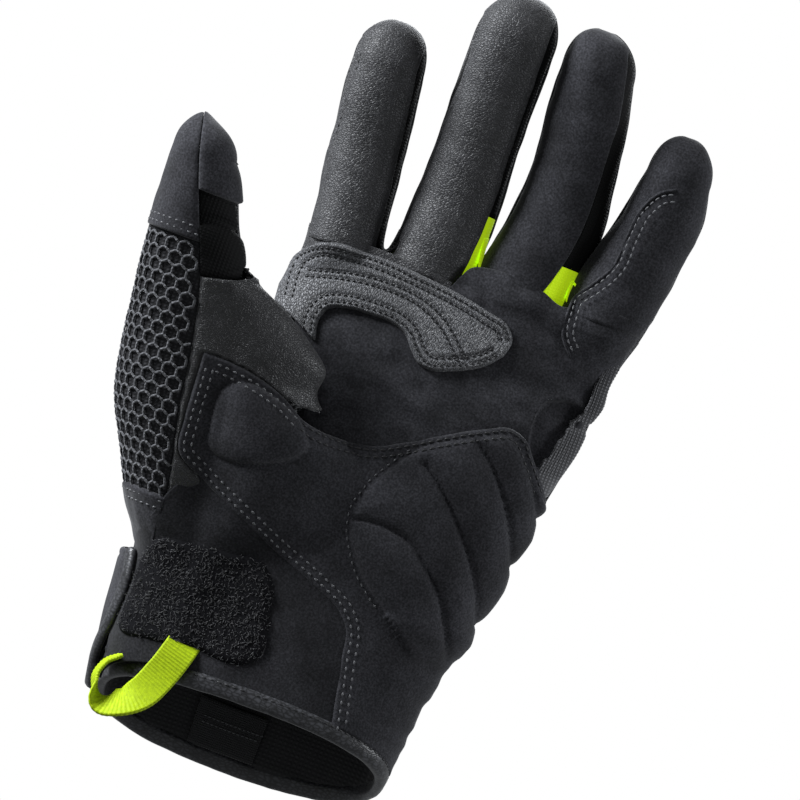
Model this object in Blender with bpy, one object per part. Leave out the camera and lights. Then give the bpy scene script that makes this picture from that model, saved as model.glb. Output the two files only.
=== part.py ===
"""Left motorcycle glove with a short cuff, palm side towards -Y.

The origin is the centre of the wrist opening. +Z runs along the hand to the fingertips,
-X is the thumb's side and +Y the back of the hand. Tables hold millimetres, MM turns them
into metres. The glove is a hollow shell: closed tubes for the hand, the fingers, the thumb
and its web are joined, the same tubes made smaller are taken out of them, and the shell is
cut along its seams into the panels that it is sewn from.
"""

from collections import namedtuple
from math import atan, cos, pi, sin

import bmesh
import bpy
import numpy as np
from mathutils import Matrix, Vector

MM = 0.001
SEAM = 0.3  # gap between neighbouring pieces
WALL = 1.8  # outer material with its liner
FAR = 130.0  # reaches past the glove on every side
TALL = 400.0  # reaches past the fingertips
FLAT = 0.008  # radians; facets that turn less than this are one facet

PALM_RAISE = 0.9  # the lower palm lies this much over its neighbours
OVERLAY = 1.5  # leather and suede laid on the palm
LOOP_PILE = 2.0
THENAR_FILL = 2.2
HYPOTHENAR_FILL = 2.6
LITTLE_OVERLAY = 1.0

RIM_HEIGHT = -3.75  # of the slanting rim at the origin's line
RIM_SLOPE = 0.425  # how far the rim falls for each millimetre towards the back
BINDING_HEIGHT = 5.5
BINDING_SWELL = 1.0
LINING_HEIGHT = 34.0
LINING = 0.9
LABEL = 0.6

Row = namedtuple("Row", "z left right front back")
Tip = namedtuple("Tip", "x y z")
Tube = namedtuple("Tube", "rows tip heights sides power")

HAND = Tube(
    rows=(
        Row(-30, -43, 46.5, -30.5, 31),
        Row(-10, -45.5, 48.5, -30.5, 31),
        Row(10, -47.5, 50.7, -30, 30),
        Row(30, -49.5, 53.5, -27.5, 27.5),
        Row(50, -50.5, 58.3, -26, 25.5),
        Row(75, -49.5, 62.6, -26, 24),
        Row(100, -45, 67.5, -23.5, 22),
        Row(125, -37.5, 72, -19.5, 20.5),
        Row(140, -33.5, 73.4, -16, 19.5),
        Row(158, -33, 77.5, -14, 16),
    ),
    tip=None,
    heights=(-30, 0, 25, 50, 75, 98, 120, 141, 158),
    sides=26,
    power=2.4,
)
INDEX = Tube(
    rows=(
        Row(147, -31.5, -8.8, -13.5, 15),
        Row(160, -33.2, -9.2, -14, 14.5),
        Row(175, -34.4, -10.6, -14, 13),
        Row(190, -36.5, -12, -14.5, 11),
        Row(205, -38, -13.8, -16.5, 8.5),
        Row(216, -38.4, -15.2, -18.5, 5.5),
    ),
    tip=Tip(-27, -7, 229.5),
    heights=(147, 163, 181, 199, 216),
    sides=14,
    power=2.2,
)
MIDDLE = Tube(
    rows=(
        Row(147, -8, 20.5, -13.5, 16),
        Row(163, -6.2, 21.8, -14.5, 15.5),
        Row(180, -5, 22.4, -14.5, 14),
        Row(200, -4.2, 21.5, -16.5, 11),
        Row(220, -4.6, 21.2, -20, 6.5),
        Row(237, -4.2, 21.4, -23.5, 2),
    ),
    tip=Tip(9.5, -12, 251),
    heights=(147, 168, 192, 216, 237),
    sides=14,
    power=2.2,
)
RING = Tube(
    rows=(
        Row(147, 20.5, 50.5, -13.5, 15.5),
        Row(163, 21.3, 52.6, -14, 15.5),
        Row(175, 24.3, 53.6, -14, 14),
        Row(188, 26.5, 56, -15, 12.5),
        Row(203, 27.2, 54.2, -17, 10),
        Row(222, 25.6, 52, -20.5, 5.5),
        Row(236, 25, 48.6, -23, 1.5),
    ),
    tip=Tip(35, -12, 249.3),
    heights=(147, 170, 188, 212, 236),
    sides=14,
    power=2.2,
)
LITTLE = Tube(
    rows=(
        Row(147, 50, 74.4, -12.5, 14),
        Row(163, 51.3, 79.3, -13, 13.5),
        Row(175, 52.7, 81.8, -13.5, 12.5),
        Row(188, 56.9, 83.4, -14.5, 10.5),
        Row(203, 60.4, 84.8, -17, 7.5),
        Row(213, 62.2, 83, -19, 4.5),
    ),
    tip=Tip(71.5, -9, 226.5),
    heights=(147, 164, 178, 195, 213),
    sides=14,
    power=2.2,
)
THUMB = Tube(
    rows=(
        Row(42, -49, -30, -21, 8),
        Row(52, -54.4, -30, -25, 8),
        Row(60, -59.3, -31, -28, 7),
        Row(73, -65.6, -32, -33, 5),
        Row(87, -72.3, -33, -37, 1),
        Row(105, -76, -36, -41, -6),
        Row(120, -77.6, -40, -45, -13),
        Row(131, -78.8, -43.5, -48, -19),
        Row(140, -79.3, -47.5, -50.5, -23),
        Row(150, -79.6, -53, -53, -28),
        Row(160, -80, -58.4, -55.5, -31.5),
        Row(169, -80.8, -62.4, -57, -36),
    ),
    tip=Tip(-75.2, -47, 180),
    heights=(46, 60, 74, 92, 112, 138, 155, 169),
    sides=16,
    power=2.1,
)
WEB = Tube(
    rows=(
        Row(50, -46, -12, -24, 0),
        Row(62, -52, 6, -29.5, 1),
        Row(78, -58, 13, -34.5, 0),
        Row(92, -62, 8, -37, 0),
        Row(101, -64, -4, -38.5, -2),
        Row(108, -64, -11.5, -40, -8),
        Row(118, -64, -12.6, -42.5, -14),
        Row(124, -64, -20, -44, -17),
        Row(130, -64, -29.5, -46, -20),
        Row(135.5, -64, -41, -48, -24),
    ),
    tip=Tip(-50, -36, 137.8),
    heights=(50, 64, 80, 94, 108, 118, 126, 135.5),
    sides=14,
    power=1.6,
)
FINGERS = {"index": INDEX, "middle": MIDDLE, "ring": RING, "little": LITTLE}
TUBES = (HAND, *FINGERS.values(), THUMB, WEB)

# Outlines on the palm side: x and z of their points, joined by smooth curves.
PALM_LOWER_EDGE = (
    (-50, 110), (-40, 109.6), (-29, 107.6), (-21, 104.6), (-13, 100), (0, 98.5),
    (10, 100), (30, 111), (50, 121), (90, 134), (90, -40), (30, -40), (28.3, 8),
    (20.3, 44), (10, 50.7), (-10, 59), (-25, 66), (-36, 71.2), (-47.3, 78),
    (-48.6, 86), (-49.2, 95),
)
WRIST_PANEL_EDGE = (
    (-70, 61.4), (-47, 64.6), (-38, 72), (-30, 90), (40, 90), (40, -40), (-70, -40),
)
KNUCKLE_BAR_EDGE = (
    (-31.5, 150), (-28, 154.5), (-10, 156.5), (10, 155.8), (30, 152.4), (37.5, 150.2),
    (40.3, 146), (39, 140), (35.5, 136.3), (25, 130.8), (16, 128.8), (12, 131.5),
    (7, 138), (2, 140.6), (-10, 140.2), (-17, 138.8), (-19.6, 135), (-18, 125),
    (-25, 127.5), (-33.2, 132.5),
)
THENAR_PAD_EDGE = (
    (-39, 102.5), (-33, 105.4), (-25, 103.8), (-13, 97.5), (-9.3, 92), (-12.5, 87.5),
    (-20, 83.4), (-30, 80.3), (-38, 82), (-40.5, 90),
)
HYPOTHENAR_PAD_EDGE = (
    (24, 105), (18, 96), (12.4, 86), (10.7, 80), (12, 73.5), (19, 61.5), (29, 52.7),
    (40, 47), (54, 46.5), (60, 60), (65, 80), (68.3, 100), (66, 114), (51, 118.5),
    (36, 111.5),
)
LOOP_PATCH_EDGE = (
    (-45.6, 43), (-44, 48.4), (-33, 51.2), (-20, 52.7), (-10, 53), (-7, 50), (-2, 34),
    (-0.4, 27.5), (-3, 22.6), (-8, 20.6), (-20, 21), (-36, 18.8), (-45.2, 18),
)
LITTLE_OVERLAY_EDGE = (
    (83.5, 209.5), (76, 209.6), (69, 207.6), (64.3, 200), (62.6, 184), (58, 172.5),
    (53.7, 166), (54, 158), (59, 147.5), (67, 144), (76, 146),
)

Height = namedtuple("Height", "z x")
THUMB_SEAM = (
    Height(40, -44), Height(66, -46.2), Height(90, -51), Height(110, -54),
    Height(130, -58.3), Height(150, -66.3), Height(160, -69.6), Height(185, -79),
)
MESH_TOP, MESH_BOTTOM = 141.2, 61.8
BAND_TOP, BAND_BOTTOM = 159.9, 138.2
PATCH_FOOT = 44.0  # of the side patch, which ends under the mesh
THUMB_TOP = 190.0  # past the thumb's tip
THUMB_RIGHT = -30.0  # past the thumb's right side
THUMB_BACK_LOW = (62.1, 80, 95, 110, 122)  # heights at which the cut behind the thumb bends
THUMB_BACK_HIGH = (122, 128, 134, 142, 152, 162, 172, 190)
THUMB_BACK_EDGE, THUMB_BACK_TOP_EDGE = -44.5, -36.0  # its right side, low down and near the tip

Corner = namedtuple("Corner", "x y")
WEB_CREASE = (  # between the thumb's web and the palm, seen from above
    Corner(-10.5, -21.6), Corner(-12, -21.6), Corner(-30, -11), Corner(-42, -4.5), Corner(-60, -4.5),
)
WEB_FOOT = 60.0

FINGER_SIDES = (-60, -8.2, 21.4, 51.7, 110)  # x of the cuts between the fingers' backs
FINGER_BACK_FOOT = 157.5
PAST_TIP = 9.0
FINGER_BENDS = (170, 185, 200, 212)  # heights at which the cut behind a finger bends
LEATHER_FRONTS = {"index_front": (-60, -8.1), "middle_front": (-7.8, 21.2)}  # between two x
LEATHER_FRONT_FOOT = 151.0  # where the leather of index and middle starts, under the bar
LEATHER_FRONT_BACK = 12.0  # y that no finger's front reaches
FINGER_SEAM = 0.35  # half height of a fourchette as a share of the finger's half depth
LAST_FINGER_SEAM = 0.62  # the same in front of ring and little finger
FOURCHETTE_FOOT = 152.0
FOURCHETTE_BENDS = (165, 180, 195)
FOURCHETTE_SPLIT = 205.0  # height at which the gap between two fingers is measured
FOURCHETTE_END = 12.0  # below the fingertip

PALM_UPPER_FOOT = 90.0  # under the lower palm
KNIT_LEFT = 52.0
KNIT_LOW, KNIT_HIGH = 112.0, 144.0
LABEL_SIDES, LABEL_HEIGHTS = (-17, 8.5), (-7.5, 7)
LABEL_FRONT = 5.0  # y in front of it

STRAP_LOW, STRAP_HIGH = 5.0, 42.0
STRAP_LIFT, STRAP = 2.7, 1.8
STRAP_ROLL = 1.0  # how much thicker its bound edge is
STRAP_END_Y = -13.0  # the strap's free end on the thumb's side
STRAP_ANCHOR_X = 18.0  # where the strap starts on the back
STRAP_SIDE_X = -30.0  # left of this the strap is cut as the side, right of it as the back
STRAP_BACK_Y = 8.0
STRAP_EDGE = 5.0  # width of the bound edge of the strap
BOUND_LOW, BOUND_HIGH = 2.0, 1.0  # how far the bound edge stands past the strap

Fold = namedtuple("Fold", "x y z across_x across_y across_z")
TAB_WIDTH, TAB = 10.0, 1.3
PULL_TAB = (  # the ribbon's middle line, and the way its width runs
    Fold(-26, -27.7, 17, 0.85, -0.1, -0.5),
    Fold(-30, -30.2, 9.5, 0.85, -0.15, -0.5),
    Fold(-34.5, -32, 2.5, 0.8, -0.3, -0.5),
    Fold(-39.5, -31.5, -3, 0.5, -0.6, -0.6),
    Fold(-44, -29, -5, 0.2, -0.9, -0.4),
    Fold(-47.6, -26.5, -1.5, 0, -1, 0),
    Fold(-48, -25, 3, 0.1, -1, 0),
    Fold(-45.6, -23.8, 8.5, 0.3, -1, 0),
)

Look = namedtuple("Look", "colour roughness")
SUEDE = Look((0.012, 0.012, 0.014), 0.95)
LEATHER = Look((0.014, 0.014, 0.016), 0.45)
GREY_LEATHER = Look((0.06, 0.062, 0.07), 0.5)
KNIT = Look((0.012, 0.012, 0.013), 0.85)
NEON = Look((0.62, 0.86, 0.01), 0.7)


def through(knots, values, at):
    """A smooth curve through the knots: cubic pieces whose slopes are the chords'."""
    knots, values, at = (np.asarray(v, float) for v in (knots, values, at))
    slope = np.gradient(values, knots)
    i = np.clip(np.searchsorted(knots, at) - 1, 0, len(knots) - 2)
    width = knots[i + 1] - knots[i]
    t = (at - knots[i]) / width
    return (
        (2 * t**3 - 3 * t**2 + 1) * values[i]
        + (t**3 - 2 * t**2 + t) * width * slope[i]
        + (3 * t**2 - 2 * t**3) * values[i + 1]
        + (t**3 - t**2) * width * slope[i + 1]
    )


def column(tube, name, z):
    return through([r.z for r in tube.rows], [getattr(r, name) for r in tube.rows], z)


def middle(tube, z, axis="y"):
    """The middle of the tube's sections at heights z, along X or Y."""
    low, high = ("left", "right") if axis == "x" else ("front", "back")
    return (column(tube, low, z) + column(tube, high, z)) / 2


def sections(tube, grow):
    """Centre x, centre y, height, half width and half depth of each ring of a tube."""
    z = np.array(tube.heights, float)
    z[0] -= grow if tube.tip else 0
    at = np.clip(z, tube.rows[0].z, tube.rows[-1].z)
    left, right, front, back = (column(tube, n, at) for n in Row._fields[1:])
    rings = [(left + right) / 2, (front + back) / 2, z]
    rings += [(right - left) / 2 + grow, (back - front) / 2 + grow]
    rings = np.array(rings).T
    if tube.tip is None:
        rings[-1, 2] += grow
        return rings
    foot, dome = rings[-1], []
    for turn in (0.4, 0.8):
        rise, left_over = sin(turn * pi / 2), cos(turn * pi / 2) ** 0.85
        x, y = (foot[k] + (tube.tip[k] - foot[k]) * rise**1.6 for k in (0, 1))
        z = foot[2] + (tube.tip.z + grow - foot[2]) * rise
        dome.append((x, y, z, foot[3] * left_over, foot[4] * left_over))
    return np.vstack([rings, dome])


def bend(value, power):
    return np.sign(value) * np.abs(value) ** (2 / power)


def loft(rings):
    """A closed mesh through rings of points, each ring an array of one length."""
    bm = bmesh.new()
    loops = [[bm.verts.new(Vector(p) * MM) for p in ring] for ring in rings]
    for low, high in zip(loops, loops[1:]):
        for i in range(len(low)):
            j = (i + 1) % len(low)
            bm.faces.new((low[i], low[j], high[j], high[i]))
    bm.faces.new(reversed(loops[0]))
    bm.faces.new(loops[-1])
    bmesh.ops.triangulate(bm, faces=bm.faces)
    bmesh.ops.recalc_face_normals(bm, faces=bm.faces)
    mesh = bpy.data.meshes.new("loft")
    bm.to_mesh(mesh)
    bm.free()
    return mesh


def tube_mesh(tube, grow=0.0):
    turn = np.linspace(0, 2 * pi, tube.sides, endpoint=False)
    across, along = bend(np.cos(turn), tube.power), bend(np.sin(turn), tube.power)
    rings = []
    for x, y, z, wide, deep in sections(tube, grow):
        heights = np.full(tube.sides, z)
        rings.append(np.array([x + wide * across, y + deep * along, heights]).T)
    return loft(rings)


def slab(rows):
    """A cutter of rectangular sections: rows of z, low x, high x, low y, high y."""
    return loft([[(a, c, z), (b, c, z), (b, d, z), (a, d, z)] for z, a, b, c, d in rows])


def box(x, y, z):
    return slab([(h, *x, *y) for h in z])


def smooth_outline(points, steps=2):
    """The closed curve through the points, with steps pieces from each to the next."""
    points = np.array(points, float)
    t = np.arange(0, 1, 1 / steps)[:, None]
    before, after, far = (np.roll(points, -k, 0) for k in (-1, 1, 2))
    out = []
    for p, a, b, q in zip(before, points, after, far):
        bow = np.minimum(np.linalg.norm(b - a), 14) / 14
        ahead, behind = (b - p) / 2 * bow, (q - a) / 2 * bow
        out.append(
            (2 * t**3 - 3 * t**2 + 1) * a
            + (t**3 - 2 * t**2 + t) * ahead
            + (3 * t**2 - 2 * t**3) * b
            + (t**3 - t**2) * behind
        )
    return np.vstack(out)


def moved_out(points, distance):
    """The outline moved outwards, each point along the mean of its edges' normals."""
    ahead, behind = np.roll(points, -1, 0) - points, points - np.roll(points, 1, 0)
    side = sum(e / np.linalg.norm(e, axis=1)[:, None] for e in (ahead, behind))
    area = np.sum(points[:, 0] * np.roll(points[:, 1], -1) - points[:, 1] * np.roll(points[:, 0], -1))
    out = np.array([side[:, 1], -side[:, 0]]).T * np.sign(area)
    return points + distance * out / np.linalg.norm(out, axis=1)[:, None]


def prism(points, grow=0.0, back=-1.0):
    """A cutter: the outline in X and Z, drawn along Y from in front of the glove."""
    points = moved_out(points, grow) if grow else points
    return loft([[(x, y, z) for x, z in points] for y in (-FAR, back)])


def combine(first, second, operation):
    """The Boolean of two closed meshes, as a new mesh.

    The exact solver loses the palm and the thumb's band, so it only stands in here.
    """
    a, b = (bpy.data.objects.new(n, m) for n, m in (("a", first), ("b", second)))
    for o in (a, b):
        bpy.context.scene.collection.objects.link(o)
    change = a.modifiers.new("change", "BOOLEAN")
    change.operation, change.object = operation, b
    for solver in ("MANIFOLD", "EXACT"):
        change.solver = solver
        seen = a.evaluated_get(bpy.context.evaluated_depsgraph_get())
        mesh = bpy.data.meshes.new_from_object(seen)
        if mesh.polygons:
            break
    for o in (a, b):
        bpy.data.objects.remove(o)
    return mesh


def joined(meshes):
    whole = meshes[0]
    for mesh in meshes[1:]:
        whole = combine(whole, mesh, "UNION")
    return whole


def body(grow):
    """The whole glove as one closed body, its sections grown by so many millimetres."""
    return joined([tube_mesh(t, grow) for t in TUBES])


def islands(bm):
    """The separate bodies of a mesh, as sets of faces."""
    left, found = set(bm.faces), []
    while left:
        stack, island = [left.pop()], set()
        while stack:
            face = stack.pop()
            island.add(face)
            for edge in face.edges:
                near = left.intersection(edge.link_faces)
                left -= near
                stack += near
        found.append(island)
    return found


def volume_of(faces):
    total = 0.0
    for face in faces:
        corners = [v.co for v in face.verts]
        for b, c in zip(corners[1:], corners[2:]):
            total += corners[0].dot(b.cross(c)) / 6
    return total


def largest(mesh):
    """The mesh with only its largest body, with faces pointing out."""
    bm = bmesh.new()
    bm.from_mesh(mesh)
    bodies = sorted(islands(bm), key=volume_of)
    loose = [f for island in bodies[:-1] for f in island]
    bmesh.ops.delete(bm, geom=loose, context="FACES")
    flat = {"angle_limit": FLAT, "verts": bm.verts, "edges": bm.edges}
    bmesh.ops.dissolve_limit(bm, **flat)
    bmesh.ops.triangulate(bm, faces=bm.faces)
    bmesh.ops.recalc_face_normals(bm, faces=bm.faces)
    bm.to_mesh(mesh)
    bm.free()
    return mesh


def material(name, look):
    made = bpy.data.materials.new(name)
    made.use_nodes = True
    shader = made.node_tree.nodes["Principled BSDF"]
    shader.inputs["Base Color"].default_value = (*look.colour, 1)
    shader.inputs["Roughness"].default_value = look.roughness
    return made


def piece(name, mesh, look):
    """One sub-part of the glove: its largest body, with a material of its own."""
    mesh = largest(mesh)
    mesh.name = name
    made = bpy.data.objects.new(name, mesh)
    mesh.materials.clear()
    mesh.materials.append(material(name, look))
    bpy.data.collections["motorcycle_glove"].objects.link(made)
    return made


class Shell:
    """What is left of the glove's wall while panels are cut from it."""

    def __init__(self, mesh):
        self.mesh = mesh

    def take(self, name, cutter, wider, look):
        """Cut a panel out. The wider cutter leaves the seam's gap round it."""
        panel = combine(self.mesh.copy(), cutter, "INTERSECT")
        self.mesh = combine(self.mesh, wider, "DIFFERENCE")
        return piece(name, panel, look)


def slanted(mesh):
    """The mesh tilted as the rim is, about the line where the rim crosses y = 0."""
    pivot = Matrix.Translation((0, 0, RIM_HEIGHT * MM))
    mesh.transform(pivot @ Matrix.Rotation(-atan(RIM_SLOPE), 4, "X") @ pivot.inverted())
    return mesh


def above_rim(low, high):
    """A slanting cutter between two heights over the rim."""
    return slanted(box((-FAR, FAR), (-FAR, FAR), (RIM_HEIGHT + low, RIM_HEIGHT + high)))


def fourchette_cutter(first, second, front, grow):
    """Between the middles of two fingers, over the crotch and up both their sides."""
    low_tip = min(first.tip.z, second.tip.z) - FOURCHETTE_END
    high_tip = max(first.tip.z, second.tip.z) - FOURCHETTE_END
    rows = []
    for z in (FOURCHETTE_FOOT, *FOURCHETTE_BENDS, low_tip):
        at = min(z, first.rows[-1].z, second.rows[-1].z)
        deep = [(column(t, "back", at) - column(t, "front", at)) / 2 for t in (first, second)]
        y = (middle(first, at) + middle(second, at)) / 2
        half = sum(deep) / 2
        x = middle(first, at, "x"), middle(second, at, "x")
        rows.append((z, x[0], x[1], y - front * half, y + FINGER_SEAM * half))
    taller = first if first.tip.z > second.tip.z else second
    gap = column(first, "right", FOURCHETTE_SPLIT), column(second, "left", FOURCHETTE_SPLIT)
    between = sum(gap) / 2
    for z in (low_tip + 0.5, high_tip):
        at = min(z, taller.rows[-1].z)
        y, own = middle(taller, at), middle(taller, at, "x")
        half = (column(taller, "back", at) - column(taller, "front", at)) / 2
        x = (own, between) if taller is first else (between, own)
        rows.append((z, *x, y - front * half, y + FINGER_SEAM * half))
    rows = [(z, a - grow, b + grow, c - grow, d + grow) for z, a, b, c, d in rows]
    rows[0] = (rows[0][0] - grow, *rows[0][1:])
    rows[-1] = (rows[-1][0] + grow, *rows[-1][1:])
    return slab(rows)


def behind(tube, x, heights, grow=0.0):
    """A cutter behind the middle of a tube, between two x, up the given heights."""
    rows = []
    for z in heights:
        y = middle(tube, np.clip(z, tube.rows[0].z, tube.rows[-1].z))
        rows.append((z, x[0] - grow, x[1] + grow, y - grow, FAR))
    rows[0] = (rows[0][0] - grow, *rows[0][1:])
    return slab(rows)


def beside_thumb_seam(side, low, high, grow=0.0):
    """A cutter in front of the thumb's middle, left or right of its centre seam."""
    rows = []
    knots, places = [h.z for h in THUMB_SEAM], [h.x for h in THUMB_SEAM]
    for z in np.linspace(low - grow, high + grow, 9):
        seam = through(knots, places, min(z, knots[-1]))
        y = middle(THUMB, np.clip(z, THUMB.rows[0].z, THUMB.rows[-1].z)) + grow
        x = (-FAR, seam + grow) if side == "left" else (seam - grow, THUMB_RIGHT)
        rows.append((z, *x, -FAR, y))
    return slab(rows)


def cut_finger_backs(shell):
    sides = zip(FINGER_SIDES, FINGER_SIDES[1:])
    for (name, tube), (left, right) in zip(FINGERS.items(), sides):
        x = left + SEAM / 2, right - SEAM / 2
        heights = (FINGER_BACK_FOOT, *FINGER_BENDS, tube.rows[-1].z, tube.tip.z + PAST_TIP)
        cuts = [behind(tube, x, heights, grow) for grow in (0, SEAM)]
        shell.take(f"{name}_back", *cuts, LEATHER)


def cut_fingers(shell):
    pairs = (
        ("index_middle", INDEX, MIDDLE, FINGER_SEAM),
        ("middle_ring", MIDDLE, RING, FINGER_SEAM),
        ("ring_little", RING, LITTLE, LAST_FINGER_SEAM),
    )
    for name, first, second, front in pairs:
        cuts = [fourchette_cutter(first, second, front, grow) for grow in (0, SEAM)]
        shell.take(f"fourchette_{name}", *cuts, NEON)
    cut_finger_backs(shell)
    for name, (left, right) in LEATHER_FRONTS.items():
        cuts = [
            box((left - g, right + g), (-FAR, LEATHER_FRONT_BACK), (LEATHER_FRONT_FOOT - g, TALL))
            for g in (0, SEAM)
        ]
        shell.take(name, *cuts, LEATHER)


def cut_thumb(shell):
    cuts = []
    for g in (0, SEAM):
        low = behind(THUMB, (-FAR, THUMB_BACK_EDGE + g), THUMB_BACK_LOW, g)
        high = behind(THUMB, (-FAR, THUMB_BACK_TOP_EDGE), THUMB_BACK_HIGH, g)
        cuts.append(combine(low, high, "UNION"))
    shell.take("thumb_back", *cuts, LEATHER)
    parts = (
        ("thumb_cap_left", "left", MESH_TOP, THUMB_TOP, SUEDE),
        ("thumb_cap_right", "right", BAND_TOP + SEAM, THUMB_TOP, SUEDE),
        ("thumb_band", "right", BAND_BOTTOM, BAND_TOP, KNIT),
        ("thumb_mesh", "left", MESH_BOTTOM, MESH_TOP - SEAM, KNIT),
        ("side_patch", "left", PATCH_FOOT, MESH_BOTTOM - SEAM, SUEDE),
    )
    for name, side, low_z, high_z, look in parts:
        cuts = [beside_thumb_seam(side, low_z, high_z, g) for g in (0, SEAM)]
        shell.take(name, *cuts, look)


def web_cutter(grow):
    """In front of the slanting crease between the thumb's web and the palm."""
    crease = [(c.x + grow, c.y + grow) for c in WEB_CREASE]
    corners = [(crease[0][0], -FAR), *crease, (WEB_CREASE[-1].x, -FAR)]
    return loft([[(x, y, z) for x, y in corners] for z in (WEB_FOOT, BAND_BOTTOM - SEAM / 2)])


def cut_palm(shell):
    lower = smooth_outline(PALM_LOWER_EDGE)
    raised = combine(body(PALM_RAISE), body(-WALL), "DIFFERENCE")
    raised = combine(raised, above_rim(BINDING_HEIGHT + SEAM, TALL), "INTERSECT")
    raised = combine(raised, prism(lower, back=0.0), "INTERSECT")
    piece("palm_lower", raised, SUEDE)
    shell.mesh = combine(shell.mesh, prism(lower, SEAM, SEAM), "DIFFERENCE")
    wrist = np.array(WRIST_PANEL_EDGE, float)
    shell.take("wrist_panel", prism(wrist, 0, 0), prism(wrist, SEAM, SEAM), SUEDE)
    shell.take("thumb_leather", web_cutter(0), web_cutter(SEAM), LEATHER)
    cuts = [box((-FAR, FAR), (-FAR, g), (PALM_UPPER_FOOT, TALL)) for g in (0, SEAM)]
    shell.take("palm_upper", *cuts, SUEDE)


def cut_back(shell):
    cuts = [box((KNIT_LEFT - g, FAR), (0, FAR), (KNIT_LOW - g, KNIT_HIGH + g)) for g in (0, SEAM)]
    shell.take("side_knit", *cuts, KNIT)
    piece("hand_back", shell.mesh, LEATHER)


def overlay(name, edge, low, high, look, back=-1.0):
    """A layer laid on the palm side, from low to high millimetres off the shell."""
    layer = combine(body(high), body(low), "DIFFERENCE")
    piece(name, combine(layer, prism(smooth_outline(edge), back=back), "INTERSECT"), look)


def make_overlays():
    on_raised = PALM_RAISE + SEAM
    overlay("knuckle_bar", KNUCKLE_BAR_EDGE, SEAM, SEAM + OVERLAY, GREY_LEATHER)
    overlay("thenar_pad", THENAR_PAD_EDGE, on_raised, on_raised + THENAR_FILL, SUEDE, -20)
    filled = on_raised + HYPOTHENAR_FILL
    overlay("hypothenar_pad", HYPOTHENAR_PAD_EDGE, on_raised, filled, SUEDE, -8)
    overlay("loop_patch", LOOP_PATCH_EDGE, SEAM, SEAM + LOOP_PILE, KNIT)
    overlay("little_overlay", LITTLE_OVERLAY_EDGE, SEAM, SEAM + LITTLE_OVERLAY, SUEDE)


def ring_of_hand(low, high):
    """The hand's tube from low to high millimetres off its wall's outer face."""
    return combine(tube_mesh(HAND, high), tube_mesh(HAND, low), "DIFFERENCE")


def make_cuff():
    ring = ring_of_hand(-WALL - BINDING_SWELL, BINDING_SWELL)
    ring = combine(ring, above_rim(0, BINDING_HEIGHT), "INTERSECT")
    piece("cuff_binding", ring, GREY_LEATHER)
    liner = ring_of_hand(-WALL - SEAM - LINING, -WALL - SEAM)
    liner = combine(liner, above_rim(BINDING_HEIGHT + SEAM, LINING_HEIGHT), "INTERSECT")
    piece("cuff_lining", liner, KNIT)
    under = -WALL - 2 * SEAM - LINING
    label = box(LABEL_SIDES, (LABEL_FRONT, FAR), LABEL_HEIGHTS)
    label = combine(ring_of_hand(under - LABEL, under), label, "INTERSECT")
    piece("size_label", label, KNIT)


def make_strap():
    """The strap from the back round to the side, and the rolled edge that binds its end."""
    strip = ring_of_hand(STRAP_LIFT, STRAP_LIFT + STRAP)
    heights = STRAP_LOW, STRAP_HIGH
    cutter = joined([
        box((-FAR, STRAP_SIDE_X), (STRAP_END_Y, FAR), heights),
        box((STRAP_SIDE_X - 1, STRAP_ANCHOR_X), (STRAP_BACK_Y, FAR), heights),
    ])
    piece("closure_strap", combine(strip, cutter, "INTERSECT"), LEATHER)
    roll = ring_of_hand(STRAP_LIFT, STRAP_LIFT + STRAP + STRAP_ROLL)
    end = STRAP_END_Y - SEAM
    heights = STRAP_LOW - BOUND_LOW, STRAP_HIGH + BOUND_HIGH
    cutter = box((-FAR, STRAP_SIDE_X), (end - STRAP_EDGE, end), heights)
    piece("strap_binding", combine(roll, cutter, "INTERSECT"), GREY_LEATHER)


def make_pull_tab():
    """A ribbon along its folds: a flat rectangle at each, square to the way it runs."""
    middles = [Vector(f[:3]) for f in PULL_TAB]
    rings = []
    for i, fold in enumerate(PULL_TAB):
        ahead = middles[min(i + 1, len(middles) - 1)] - middles[max(i - 1, 0)]
        across = Vector(fold[3:])
        across = (across - across.project(ahead)).normalized() * TAB_WIDTH / 2
        out = across.cross(ahead).normalized() * TAB / 2
        corners = (across + out, out - across, -across - out, across - out)
        rings.append([middles[i] + c for c in corners])
    piece("pull_tab", loft(rings), NEON)


def build():
    for old in list(bpy.data.objects):
        bpy.data.objects.remove(old)
    made = bpy.data.collections.new("motorcycle_glove")
    bpy.context.scene.collection.children.link(made)
    wall = combine(body(0), body(-WALL), "DIFFERENCE")
    shell = Shell(combine(wall, above_rim(BINDING_HEIGHT + SEAM, TALL), "INTERSECT"))
    cut_fingers(shell)
    cut_thumb(shell)
    cut_palm(shell)
    cut_back(shell)
    make_overlays()
    make_cuff()
    make_strap()
    make_pull_tab()


build()
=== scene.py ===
# %% [markdown]
# A left motorcycle glove, seen from its palm side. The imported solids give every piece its
# size and place. The script rebuilds the soft surfaces finer than the solids, as shapes
# worked out with numpy, and adds what is too fine for a solid: stitches, grain, the
# honeycomb mesh, the loop pile and the ribs of the webbing.

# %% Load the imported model
from collections import namedtuple

import bpy
import numpy as np
from mathutils import Matrix, Vector


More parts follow.
